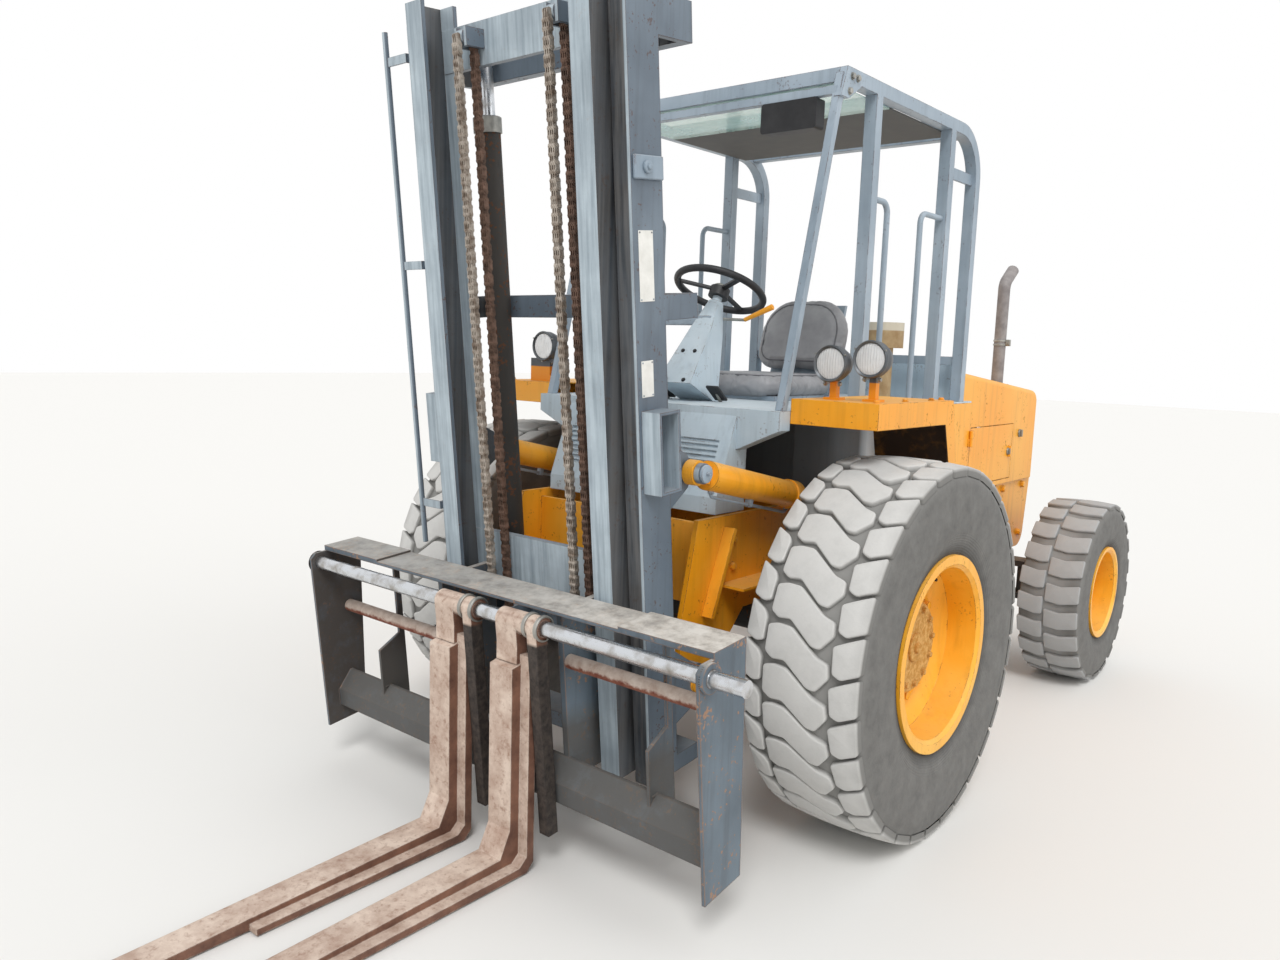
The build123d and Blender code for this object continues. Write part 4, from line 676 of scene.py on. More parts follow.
def bent(points, radius, steps=6):
    """Points of a line whose corners are rounded."""
    points = [Vector(point) for point in points]
    line = [points[0]]
    for before, corner, after in zip(points, points[1:], points[2:]):
        start = corner + (before - corner).normalized() * radius
        end = corner + (after - corner).normalized() * radius
        for step in range(steps + 1):
            t = step / steps
            line.append(start * (1 - t) ** 2 + corner * 2 * t * (1 - t) + end * t * t)
    return line + [points[-1]]


def weld_bead(bm, start, end, radius=0.004):
    """Rippled bead of weld along a joint, a ripple every 12 mm."""
    start, end = Vector(start), Vector(end)
    count = max(3, int((end - start).length / 0.006))
    radii = [radius * (0.82 + 0.18 * (index % 2)) for index in range(count + 1)]
    tube(bm, [start.lerp(end, index / count) for index in range(count + 1)], radii, 6)


def hex_bolt(bm, seat, axis, across=0.024, tall=0.012):
    """Bolt head on a washer."""
    axis = Vector(axis).normalized()
    seat = Vector(seat)
    rod(bm, seat - axis * 0.001, seat + axis * 0.003, across * 0.72, 18)
    rod(bm, seat + axis * 0.003, seat + axis * (0.003 + tall), across * 0.577, 6, bevel=0.0012)


def ring_of(count, centre, axis, radius, start=0.0):
    """Points round a circle."""
    turn = turned(axis)
    return [
        Vector(centre) + turn @ Vector((radius * math.cos(a), radius * math.sin(a), 0))
        for a in (start + 2 * math.pi * i / count for i in range(count))
    ]


def lathe(bm, centre, axis, profile, steps=40):
    """Turns a profile, given as along the axis and radius, once round the axis."""
    turn = turned(axis)
    points = [bm.verts.new(Vector(centre) + turn @ Vector((radius, 0, along))) for along, radius in profile]
    strip = [bm.edges.new(pair) for pair in zip(points, points[1:])]
    bmesh.ops.spin(
        bm, geom=points + strip, cent=centre, axis=turn @ Z, angle=2 * math.pi, steps=steps, use_merge=True,
    )
    bmesh.ops.remove_doubles(bm, verts=bm.verts, dist=1e-5)


# Tyres
def tyre_lugs(bm, centre, side, outlines, pitches, base_r, top_r, crown):
    """Raises each outline, given as across and along the tread in metres, and repeats it round the tyre."""
    step = 2 * math.pi / pitches
    tall = 0.1
    half_width = 0.2
    for outline, shift in outlines:
        lug = bmesh.new()
        raise_outline(lug, [(across, along + shift * step * top_r) for across, along in outline], tall)
        bmesh.ops.recalc_face_normals(lug, faces=lug.faces)
        round_off(lug, [e for e in lug.edges if abs(e.verts[0].co.z - e.verts[1].co.z) > tall / 2], 0.008, 2)
        rim = [
            edge for edge in lug.edges
            if min(vert.co.z for vert in edge.verts) > tall * 0.99
            and any(abs(face.normal.z) < 0.5 for face in edge.link_faces)
        ]
        round_off(lug, rim, 0.006, 3)
        bmesh.ops.delete(lug, geom=[f for f in lug.faces if f.calc_center_median().z < 1e-4], context="FACES")
        bmesh.ops.triangulate(lug, faces=[f for f in lug.faces if len(f.verts) > 4])
        # The flat lug is wrapped round the tyre, its top at the tread and its foot on the carcass
        for vert in lug.verts:
            across, along, up = vert.co
            radius = (top_r - (tall - up) if up > tall / 2 else base_r) - crown * (across / half_width) ** 2
            angle = along / top_r
            out = Vector((0, -math.cos(angle), math.sin(angle)))
            vert.co = centre + X * side * across + out * radius
        bmesh.ops.spin(
            lug, geom=lug.verts[:] + lug.edges[:] + lug.faces[:], cent=centre, axis=X,
            angle=-step * (pitches - 1), steps=pitches - 1, use_duplicate=True,
        )
        made = mesh_of("lug", lug)
        bm.from_mesh(made)
        bpy.data.meshes.remove(made)


def wheel_centre(node):
    """Centre, half width and radius of a wheel's node."""
    low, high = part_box(node)
    return (low + high) / 2, (high.x - low.x) / 2, (high.z - low.z) / 2


# Worn Z-shaped lug of the loader tread with a shoulder block each side; across, along the tread
front_lugs = (
    ((
        (-0.126, 0.090), (-0.096, 0.070), (-0.050, 0.074), (0.036, 0.004), (0.066, 0.000), (0.108, 0.050),
        (0.102, 0.094), (0.060, 0.108), (-0.040, 0.184), (-0.090, 0.188), (-0.126, 0.178),
    ), 0.0),
    (((0.117, 0.068), (0.146, 0.054), (0.206, 0.080), (0.206, 0.200), (0.150, 0.174), (0.110, 0.154)), 0.0),
    ((
        (-0.206, 0.132), (-0.165, 0.114), (-0.136, 0.122), (-0.136, 0.198), (-0.150, 0.220), (-0.206, 0.252),
    ), 0.0),
)
# Worn bars of the rear tread, the second row half a pitch on; across, along the tread
rear_bars = (
    (((-0.014, 0.010), (0.060, 0.000), (0.150, 0.018), (0.150, 0.110), (0.060, 0.092), (-0.014, 0.104)), 0.0),
    ((
        (-0.150, 0.018), (-0.060, 0.000), (-0.022, 0.006), (-0.022, 0.100), (-0.060, 0.092), (-0.150, 0.110),
    ), 0.5),
)


class ForkliftOperator(bpy.types.Operator):
    """Shared options of the forklift's operators"""

    bl_options = {"REGISTER", "UNDO"}


class FORKLIFT_OT_stage(ForkliftOperator):
    """Camera at the photograph's angle, pale floor and soft studio light"""

    bl_idname = "forklift.stage"
    bl_label = "Stage"

    def camera(self, scene):
        """Stands where the photograph was taken from, in metres and degrees."""
        yaw, pitch, roll = (math.radians(angle) for angle in (40.07, 7.77, 1.81))
        level = Vector((-math.sin(yaw), math.cos(yaw), 0.0))
        forward = level * math.cos(pitch) - Z * math.sin(pitch)
        right = forward.cross(Z).normalized()
        up = right.cross(forward)
        across = right * math.cos(roll) + up * math.sin(roll)
        top = up * math.cos(roll) - right * math.sin(roll)
        data = bpy.data.cameras.new("camera")
        data.sensor_width = 36.0
        data.lens = 27.37
        data.clip_end = 200.0
        scene.camera = put("camera", data)
        scene.camera.matrix_world = Matrix((across, top, -forward)).transposed().to_4x4()
        scene.camera.location = Vector((2.4246, -3.40185, 1.7086))

    def floor(self):
        """Matt studio paper: pale, with the object's shadow on it."""
        bm = bmesh.new()
        bmesh.ops.create_grid(bm, x_segments=1, y_segments=1, size=40.0)
        mesh = mesh_of("floor", bm)
        skin = Finish("studio_floor")
        skin.feed(skin.shader, {"Base Color": "E6E5E2", "Roughness": 0.95})
        mesh.materials.append(skin.material)
        put("floor", mesh)

    def sky(self, scene):
        """White where it is seen, also in metal and through glass, and softer where it lights."""
        scene.world = bpy.data.worlds.new("studio")
        nodes = Nodes(scene.world)
        path = nodes.add("LightPath").outputs
        seen = nodes.add("Math", (path["Is Camera Ray"], path["Is Glossy Ray"]), operation="MAXIMUM")
        seen = nodes.add("Math", (seen, path["Is Transmission Ray"]), operation="MAXIMUM")
        strength = nodes.add("MapRange", (seen, 0.0, 1.0, 0.78, 1.0))
        sky = nodes.add("Background", {"Color": "FFFFFF", "Strength": strength})
        nodes.add("OutputWorld", {"Surface": sky})

    def execute(self, context):
        scene = context.scene
        scene.view_settings.view_transform = "Standard"
        self.camera(scene)
        self.floor()
        self.sky(scene)
        suns = (
            # name, strength, softness in degrees, direction that the light travels
            ("key_sun", 1.4, 20.0, Vector((-0.55, 0.75, -1.1))),
            ("side_sun", 0.5, 40.0, Vector((-1.0, -0.25, -0.6))),
        )
        for name, strength, soft, toward in suns:
            lamp = bpy.data.lights.new(name, "SUN")
            lamp.energy = strength
            lamp.angle = math.radians(soft)
            holder = put(name, lamp)
            holder.rotation_mode = "QUATERNION"
            holder.rotation_quaternion = toward.to_track_quat("-Z", "Y")
        return {"FINISHED"}


class FORKLIFT_OT_finishes(ForkliftOperator):
    """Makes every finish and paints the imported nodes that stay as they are"""

    bl_idname = "forklift.finishes"
    bl_label = "Finishes"

    def rubber(self, end, depth, tread_dust):
        """Rubber fitted to the front or the rear tyres."""
        centre, _, radius = wheel_centre(end + "_tyre_left")
        bead = wheel_centre(end + "_rim_left")[2]
        return tyre_rubber(end + "_rubber", centre, bead, radius - depth, radius, tread_dust)

    def execute(self, context):
        tyres = context.scene.forklift_tyres
        cap_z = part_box("pre_cleaner")[1].z - 0.035
        foot_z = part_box("work_lamps")[0].z + 0.065
        # A fork's hanger is the outer 44 mm of it, and gets painted shade, near black
        hanger = 0.044
        skins = {
            "yellow": yellow_enamel(),
            "front_rim": rim_enamel("front_rim_enamel", wheel_centre("front_tyre_left")[0], 0.17),
            "rear_rim": rim_enamel("rear_rim_enamel", wheel_centre("rear_tyre_left")[0], 0.095),
            "fender": fender_enamel(),
            "cab": cab_enamel(),
            "console": bleached_enamel(),
            "tub": tub_enamel(deck_z, 0.42),
            "mast": mast_enamel("outer_mast_enamel", 0.484, 0.38),
            "inner_mast": mast_enamel("inner_mast_enamel", None, 0.34),
            "carriage": carriage_enamel(),
            "fork_left": fork_steel("fork_steel_left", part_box("fork_left")[1].x - hanger),
            "fork_right": fork_steel("fork_steel_right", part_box("fork_right")[1].x - hanger),
            "greasy": greasy_steel(),
            "chrome": chromed_rod(),
            "front_rubber": self.rubber("front", tyres.front_depth, "C9C8C5"),
            "rear_rubber": self.rubber("rear", tyres.rear_depth, "A9AAAA"),
            "vinyl": seat_vinyl("seat_vinyl", "88888B", "A6A6A9"),
            # Vinyl cord, darker than the pads because dirt stays along it
            "piping": seat_vinyl("seat_piping", "5C5C60", "747478"),
            # Oiled leaf chain: the front strands paler, the rear ones darker brown
            "front_chain": plain("front_chain", "7A6A5C", "C4BBB0", 0.42, 0.5, 29.41),
            "rear_chain": plain("rear_chain", "4A382D", "85695A", 0.6, 0.3, 29.41),
            # Injection moulded plastic: near black with a soft sheen
            "black": plain("black_moulding", "17171A", "2A2A2C", 0.5),
            # Pressed and plated steel: a dull grey ring
            "bezel": plain("lamp_bezel", "4C5054", "6A6E72", 0.4, 0.4),
            # Painted pressings: dark shells on brackets in the body's yellow
            "lamp": split_at(
                plain("lamp_shell", "3E4246", "575B60", 0.45), foot_z + 0.002, foot_z - 0.002, "E9930F", 0.45,
            ),
            # Painted sheet in the roof's shade: flat dark grey
            "roof": plain("roof_liner", "525352", "646462", 0.8),
            # Moulded tan plastic bowl under a pale cap
            "tan": split_at(
                plain("tan_enamel", "9C7F57", "BBA57F", 0.6), cap_z - 0.002, cap_z + 0.002, "CFC7B4", 0.6,
            ),
            # Bare tube that the heat has scaled: matt, with a grey bloom
            "exhaust": plain("scaled_steel", "7C7676", "A39E9C", 0.65, 0.3),
            # Zinc-plated screws and caps: pale metal gone dull
            "zinc": plain("zinc_plate", "8A8A86", "B4B2AB", 0.45, 0.8),
            "rust": rusty_tube(),
            # Blank enamelled plates: clean off-white
            "white": plain("blank_plate", "D9D8D2", "EEEDE8", 0.5),
            # Pressed lens glass, its flutes 10 mm apart
            "lens": dusty_glass("lamp_lens", "FFFFFF", 0.25, 0.6, flutes=620.0),
            "roof_glass": dusty_glass("roof_glass", "B9DED4", 0.45, 0.7),
            # Silvered reflector: bright and nearly smooth
            "mirror": plain("lamp_mirror", "EFEFEF", "FFFFFF", 0.18, 0.7),
        }
        finishes.update({name: skin.material for name, skin in skins.items()})
        paint = {
            "yellow": (
                "chassis_frame", "chassis_steps", "hood", "hood_door_left", "hood_door_right", "side_tanks",
                "counterweight", "tilt_barrels",
            ),
            "fender": ("fenders",),
            "front_rim": ("front_rim_left", "front_rim_right"),
            "rear_rim": ("rear_rim_left", "rear_rim_right"),
            "cab": ("canopy_frame", "grab_rails", "seat_base"),
            "console": ("steering_column", "front_cowl"),
            "tub": ("platform",),
            "mast": ("mast_outer", "mast_pipe"),
            "inner_mast": ("mast_inner",),
            "carriage": ("carriage_frame",),
            "fork_left": ("fork_left",),
            "fork_right": ("fork_right",),
            "rust": ("stay_tubes",),
            "greasy": (
                "front_axle", "rear_axle", "engine_block", "drive_line", "knuckle_left", "knuckle_right",
                "lift_barrels",
            ),
            "chrome": ("fork_shaft", "lift_rods", "tilt_rods"),
            "black": ("steering_wheel", "mirror_box"),
            "lamp": ("work_lamps",),
            "roof": ("roof_panel",),
            "roof_glass": ("roof_glass",),
            "exhaust": ("exhaust",),
            "tan": ("pre_cleaner",),
        }
        for finish, nodes in paint.items():
            for node in nodes:
                slots = frame["nodes"][node].data.materials
                slots.clear()
                slots.append(finishes[finish])
        return {"FINISHED"}


class FORKLIFT_OT_tyres(ForkliftOperator):
    """Front and rear tyres with their worn lugs"""

    bl_idname = "forklift.tyres"
    bl_label = "Tyres"

    def section(self, half, wall, bead, base):
        """Across and radius of the carcass, from one bead over the crown to the other."""
        rise = base - 0.055 - bead
        points = [(-half * share, bead + rise * index / (len(wall) - 1)) for index, share in enumerate(wall)]
        points += [(-half * 0.955, base - 0.03), (-half * 0.9, base - 0.014), (-half * 0.8, base - 0.008)]
        points += [(-half * 0.4, base - 0.002), (0.0, base)]
        return points + [(-across, height) for across, height in reversed(points[:-1])]

    def execute(self, context):
        sizes = context.scene.forklift_tyres
        front_wall = (0.86, 0.94, 0.985, 1.0, 1.0, 0.985)
        rear_wall = (0.86, 0.95, 0.98, 1.0, 1.0, 0.98)
        rows = (
            # end, shares of the half width up the wall, lugs, pitches, depth, crown
            ("front", front_wall, front_lugs, sizes.front_pitches, sizes.front_depth, 0.012),
            ("rear", rear_wall, rear_bars, sizes.rear_pitches, sizes.rear_depth, 0.014),
        )
        for end, wall, lugs, pitches, depth, crown in rows:
            for side, name in left_right:
                node = end + "_tyre_" + name
                centre, half, radius = wheel_centre(node)
                bead = wheel_centre(end + "_rim_" + name)[2] + 0.0005
                base = radius - depth
                bm = bmesh.new()
                lathe(bm, centre, X * side, self.section(half, wall, bead, base), 96)
                tyre_lugs(bm, centre, side, lugs, pitches, base - 0.01, radius, crown)
                body = end + "_wheel_" + name
                piece(node + "_tread", bm, end + "_rubber", body, (node,), smooth=32)
        return {"FINISHED"}


class FORKLIFT_OT_chains(ForkliftOperator):
    """Leaf chains from the anchors over the pulleys to the carriage"""

    bl_idname = "forklift.chains"
    bl_label = "Lift chains"

    def strand(self, bm, x, back, low, high, pitch, plate):
        """Rows of waisted plates on pins, up the mast."""
        count = int((high - low) / pitch)
        step = (high - low) / count
        rows = (
            # offsets of the plates in even and in odd links, in metres
            (-0.0125, -0.0045, 0.0045, 0.0125),
            (-0.0085, 0.0, 0.0085),
        )

        def disc(across, up, radius, wide, segments):
            """Round plate or pin that lies across the mast."""
            place = mast_place @ Matrix.Translation((across, back, up)) @ Matrix.Rotation(math.pi / 2, 4, "Y")
            bmesh.ops.create_cone(
                bm, cap_ends=True, segments=segments, radius1=radius, radius2=radius, depth=wide,
                matrix=place,
            )

        for index in range(count):
            start = low + step * index
            middle = low + step * (index + 0.5)
            for offset in rows[index % 2]:
                for end in (-0.5, 0.5):
                    disc(x + offset, middle + end * step * 0.92, plate / 2, 0.0036, 10)
                block(
                    bm, (x + offset - 0.0017, back - plate * 0.43, middle - step / 2),
                    (x + offset + 0.0017, back + plate * 0.43, middle + step / 2), mast_place,
                )
            disc(x, start, 0.0045, 0.033, 8)

    def execute(self, context):
        sizes = context.scene.forklift_chains
        half_chain = 0.017
        rows = (
            # node, body that it starts from, body that it ends on, finish
            ("chains_front", "inner_mast", "carriage", "front_chain"),
            ("chains_rear", "mast", "inner_mast", "rear_chain"),
        )
        for node, first, last, finish in rows:
            points = points_in_mast(node)
            backs = [point.y for point in points]
            ups = [point.z for point in points]
            chain_x = max(point.x for point in points) - half_chain
            back = (min(backs) + max(backs)) / 2
            bm = bmesh.new()
            for side in (1, -1):
                self.strand(bm, side * chain_x, back, min(ups), max(ups), sizes.pitch, sizes.plate)
            made = piece(node + "_links", bm, finish, None, (node,))
            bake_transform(made)
        return {"FINISHED"}


class FORKLIFT_OT_seat(ForkliftOperator):
    """Vinyl seat cushion and back, swelled and seamed"""

    bl_idname = "forklift.seat"
    bl_label = "Seat"

    def pad(self, name, outline, deep, place, corner):
        """Padded slab of an outline's shape, swelled by cloth pressure."""
        furthest = 0.012
        bm = bmesh.new()
        slab(bm, outline, deep, place, corner)
        made = piece(name, bm, "vinyl", None)
        remesh = made.modifiers.new("remesh", "REMESH")
        remesh.mode = "VOXEL"
        remesh.voxel_size = 0.0055
        self.apply(made)
        rest = [vert.co.copy() for vert in made.data.vertices]
        cloth = made.modifiers.new("swell", "CLOTH")
        cloth.settings.use_pressure = True
        cloth.settings.uniform_pressure_force = 4.0
        cloth.settings.effector_weights.gravity = 0.0
        scene = bpy.context.scene
        for number in range(1, 16):
            scene.frame_set(number)
        self.apply(made)
        scene.frame_set(1)
        for vert, start in zip(made.data.vertices, rest):
            moved = vert.co - start
            if moved.length > furthest:
                vert.co = start + moved * (furthest / moved.length)
        made.data.shade_smooth()
        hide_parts("seat_pads")
        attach(made, "machine")
        return made

    def apply(self, made):
        """Makes what the modifiers show the piece's own mesh."""
        graph = bpy.context.evaluated_depsgraph_get()
        mesh = bpy.data.meshes.new_from_object(made.evaluated_get(graph))
        made.modifiers.clear()
        made.data = mesh

    def piping(self, bm, made, outline, place, deep):
        """Cord sewn round a pad's face, half sunk in it."""
        tree = surface(made.data)
        toward = (place.to_3x3() @ -Z).normalized()
        cast = [tree.ray_cast(place @ Vector((x, y, deep + 0.06)), toward)[0] for x, y in outline]
        tube(bm, [point for point in cast if point is not None], (0.0036,), 8, closed=True)

    def execute(self, context):
        low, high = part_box("seat_pads")
        half = (high.x - low.x) / 2 - 0.012
        front, rear = low.y + 0.01, low.y + 0.51
        foot, top = 0.12, 0.458
        cushion_deep, back_deep = 0.078, 0.072
        inset = 0.034
        cushion_place = Matrix.Translation((0, 0, deck_z + 0.024))
        rake = math.atan2(0.115, 0.43)
        lean = Matrix.Translation((0, rear + 0.055, deck_z)) @ Matrix.Rotation(-rake, 4, "X")
        back_place = lean @ Matrix.Translation((0, -0.006, 0)) @ Matrix.Rotation(math.pi / 2, 4, "X")

        outline = rounded_outline((-half, front), (half, rear), (0.11, 0.11, 0.06, 0.06))
        cushion = self.pad("seat_cushion_pad", outline, cushion_deep, cushion_place, 0.028)
        outline = rounded_outline((-half, foot), (half, top), (0.09, 0.09, 0.17, 0.17), 8)
        back = self.pad("seat_back_pad", outline, back_deep, back_place, 0.03)

        bm = bmesh.new()
        half -= inset
        rounds = rounded_outline((-half, front + inset), (half, rear - inset), (0.08, 0.08, 0.035, 0.035), 10)
        self.piping(bm, cushion, rounds, cushion_place, cushion_deep)
        rounds = rounded_outline((-half, foot + inset), (half, top - inset), (0.06, 0.06, 0.135, 0.135), 10)
        self.piping(bm, back, rounds, back_place, back_deep)
        piece("seat_piping_cord", bm, "piping", "machine", smooth=60)
        return {"FINISHED"}


class FORKLIFT_OT_lamps(ForkliftOperator):
    """Lenses, mirrors and bezels of the work lamps"""

    bl_idname = "forklift.lamps"
    bl_label = "Work lamps"

    def execute(self, context):
        lenses, bezels, mirrors, bolts = bmesh.new(), bmesh.new(), bmesh.new(), bmesh.new()
        lens_r, mirror_r, screws_r = 0.057, 0.054, 0.0665
        bezel = ((-0.004, 0.064), (0.006, 0.066), (0.012, 0.062), (0.006, 0.055))
        centres = (
            # across, behind the front axle, height
            (0.705, -0.160, 1.672),
            (0.845, -0.135, 1.692),
            (-0.720, -0.180, 1.700),
        )
        for across, behind, up in centres:
            face = Vector((across, axle_y + behind, up))
            bulge = Matrix.Translation(face) @ Matrix.Diagonal((1.0, 0.24, 1.0, 1.0))
            bmesh.ops.create_uvsphere(lenses, u_segments=32, v_segments=12, radius=lens_r, matrix=bulge)
            rod(mirrors, face - Y * 0.001, face - Y * 0.004, mirror_r, 32)
            lathe(bezels, face, -Y, bezel)
            for turn in (0.5, 2.6, 4.7):
                spot = face + Vector((screws_r * math.cos(turn), -0.006, screws_r * math.sin(turn)))
                rod(bolts, spot, spot - Y * 0.006, 0.0032, 10)
            for side in (-1, 1):
                hex_bolt(bolts, face + Vector((side * 0.026, 0.02, -0.07)), X * side, 0.013, 0.006)
        piece("lamp_mirrors", mirrors, "mirror", "machine")
        piece("lamp_lenses", lenses, "lens", "machine", smooth=60)
        piece("lamp_bezels", bezels, "bezel", "machine", smooth=50)
        piece("lamp_screws", bolts, "zinc", "machine")
        return {"FINISHED"}


class FORKLIFT_OT_wheels(ForkliftOperator):
    """Nuts round each disc, bolts in the hub covers and valve stems"""

    bl_idname = "forklift.wheels"
    bl_label = "Wheel bolts"

    def execute(self, context):
        rows = (
            # end, nuts, ring radius, hub bolts, ring radius, hub plug radius, valve radius
            ("front", 12, 0.195, 12, 0.138, 0.052, 0.262),
            ("rear", 8, 0.118, 6, 0.068, 0.030, 0.178),
        )
        first_nut = 0.13
        for end, nuts, ring, bolts, inner, plug, valve in rows:
            hub_plug = (
                (0.0, plug), (0.006, plug), (0.009, plug - 0.003), (0.009, plug * 0.4), (0.02, plug * 0.36),
                (0.022, plug * 0.3), (0.022, 0.0),
            )
            for side, name in left_right:
                node = end + "_rim_" + name
                out = X * side
                outside = wheel_centre(node)[0] + out
                bm = bmesh.new()
                for count, radius, across, tall in ((nuts, ring, 0.03, 0.02), (bolts, inner, 0.019, 0.009)):
                    for point in ring_of(count, outside, out, radius, first_nut):
                        hex_bolt(bm, meet(node, point, -out), out, across, tall)
                lathe(bm, meet(node, outside, -out), out, hub_plug)
                piece(node + "_bolts", bm, end + "_rim", end + "_wheel_" + name, smooth=30)
                stem = bmesh.new()
                foot = meet(node, outside + Vector((0, valve * 0.5, valve * 0.866)), -out)
                rod(stem, foot, foot + out * 0.03, 0.0045, 12)
                rod(stem, foot + out * 0.03, foot + out * 0.042, 0.006, 12, bevel=0.0012)
                piece(node + "_valve", stem, "black", end + "_wheel_" + name, smooth=40)
        return {"FINISHED"}


class FORKLIFT_OT_mast(ForkliftOperator):
    """Blank plates, a bracket, pins, bolts and feed lines of the mast and its cylinders"""

    bl_idname = "forklift.mast"
    bl_label = "Mast fittings"

    def plates(self, rivets):
        """Two blank plates on the left rail, with a rivet in each corner."""
        plates = bmesh.new()
        rows = (
            # back and up the mast, from and to
            (-0.236, -0.168, 1.312, 1.522),
            (-0.240, -0.184, 1.022, 1.134),
        )
        inset = 0.006
        for back_low, back_high, up_low, up_high in rows:
            middle = on_mast(far_out, (back_low + back_high) / 2, (up_low + up_high) / 2)
            seat = meet("mast_outer", middle, -X).x
            low, high = (seat, back_low, up_low), (seat + 0.0016, back_high, up_high)
            block(plates, low, high, mast_place, 0.0006, 1)
            for back in (back_low + inset, back_high - inset):
                for up in (up_low + inset, up_high - inset):
                    spot = on_mast(seat, back, up)
                    rod(rivets, spot, spot + X * 0.003, 0.0026, 10)
        piece("rail_plates", plates, "white", "mast")

    def heads(self, rivets, pin):
        """The left rail's bracket, a bolt on each rail's bracket, and the heads of the tilt pins."""
        middle = (-0.2, 1.7025)
        thick = 0.012
        bracket = bmesh.new()
        face = meet("mast_outer", on_mast(far_out, *middle), -X).x
        block(bracket, (face - 0.001, -0.252, 1.668), (face + thick, -0.12, 1.737), mast_place, 0.003, 1)
        piece("rail_bracket", bracket, "cab", "mast")
        for side in (1, -1):
            out = X * side
            seat = meet("mast_outer", on_mast(side * far_out, *middle), -out)
            if side > 0:
                seat.x = face + thick
            rod(rivets, seat, seat + out * 0.01, 0.019, 28, bevel=0.003)
            rod(rivets, seat + out * 0.01, seat + out * 0.016, 0.009, 20, bevel=0.002)
            head = meet("mast_outer", (side * far_out, pin.y, pin.z + 0.012), -out)
            head.z = pin.z
            rod(rivets, head, head + out * 0.012, 0.03, 32, bevel=0.003)
            rod(rivets, head + out * 0.012, head + out * 0.024, 0.006, 8)
        piece("mast_bolts", rivets, "cab", "mast", smooth=30)

    def glands(self):
        """Collars round the lift rods, on top of their barrels."""
        points = points_in_mast("lift_barrels")
        barrel_x = max(point.x for point in points) - 0.045
        top = max(point.z for point in points)
        collar = ((-0.05, 0.0455), (-0.05, 0.051), (0.002, 0.051), (0.006, 0.046), (0.006, 0.031))
        glands = bmesh.new()
        for side in (1, -1):
            lathe(glands, on_mast(side * barrel_x, -0.062, top), mast_up, collar)
        piece("lift_glands", glands, "zinc", "mast", smooth=40)

    def feed_lines(self, pin):
        """The feed line of each tilt cylinder, under its barrel, with a clip in its middle."""
        along = Vector(joints["tilt_rod_slide"]["axis"]).normalized()
        down = along.cross(X).normalized()
        down = down if down.z < 0 else -down
        ports = (0.11, 0.60)
        lines = bmesh.new()
        for side in (1, -1):
            place = Matrix.Translation(pin + X * side * 0.53) @ Matrix((X, along, down)).transposed().to_4x4()
            start, end = ports
            route = ((start, 0.045), (start, 0.068), (end, 0.068), (end, 0.05))
            route = [place @ Vector((0, share, depth)) for share, depth in route]
            tube(lines, bent(route, 0.016), (0.006,), 10)
            for port in ports:
                rod(lines, place @ Vector((0, port, 0.044)), place @ Vector((0, port, 0.058)), 0.011, 6)
            block(lines, (-0.012, 0.34, 0.046), (0.012, 0.36, 0.077), place, 0.002, 1)
        piece("tilt_lines", lines, "cab", "tilt_cylinders", smooth=40)

    def execute(self, context):
        rivets = bmesh.new()
        pin = Vector(joints["tilt_cylinder_swing"]["pos_m"])
        self.plates(rivets)
        self.heads(rivets, pin)
        self.glands()
        self.feed_lines(pin)
        return {"FINISHED"}


class FORKLIFT_OT_carriage(ForkliftOperator):
    """Weld beads, washers and rings of the carriage and forks"""

    bl_idname = "forklift.carriage"
    bl_label = "Carriage fittings"

    def execute(self, context):
        beads, metal = bmesh.new(), bmesh.new()
        # The fork shaft's place, back and up the mast
        shaft_at = (-0.535, 0.325)
        washer = ((0.0, 0.044), (0.004, 0.044), (0.005, 0.042), (0.005, 0.0258), (0.0, 0.0258))
        for side in (1, -1):
            inner, stay = side * 0.938, side * 0.676
            runs = (
                # from and to: across, and back and up the mast; the bead's radius
                ((inner, -0.505, 0.366), (inner, -0.355, 0.366), 0.004),
                ((inner, -0.440, -0.285), (inner, -0.440, -0.152), 0.004),
                ((inner, -0.512, -0.284), (inner, -0.512, -0.217), 0.004),
                ((side * 0.682, -0.353, 0.366), (side * 0.93, -0.353, 0.366), 0.005),
                ((stay - 0.0065, -0.47, -0.1525), (stay - 0.0065, -0.442, -0.1515), 0.004),
                ((stay + 0.0065, -0.47, -0.1525), (stay + 0.0065, -0.442, -0.1515), 0.004),
            )
            for start, end, radius in runs:
                weld_bead(beads, on_mast(*start), on_mast(*end), radius)
            lathe(metal, on_mast(side * 0.950, *shaft_at), X * side, washer)
        piece("carriage_beads", beads, "carriage", "carriage", smooth=60)
        piece("shaft_washers", metal, "greasy", "carriage", smooth=30)

        # Two rings on the shaft beside each fork's hanger
        ring = (
            (0.0, 0.0362), (0.0, 0.0405), (0.002, 0.0425), (0.012, 0.0425), (0.014, 0.0405), (0.014, 0.0362),
        )
        for name, hub_x in (("left", 0.180), ("right", -0.130)):
            bm = bmesh.new()
            for start in (0.075, 0.128):
                lathe(bm, on_mast(hub_x + start, *shaft_at), X, ring)
            piece("fork_" + name + "_rings", bm, "zinc", name + "_fork", smooth=30)
        return {"FINISHED"}


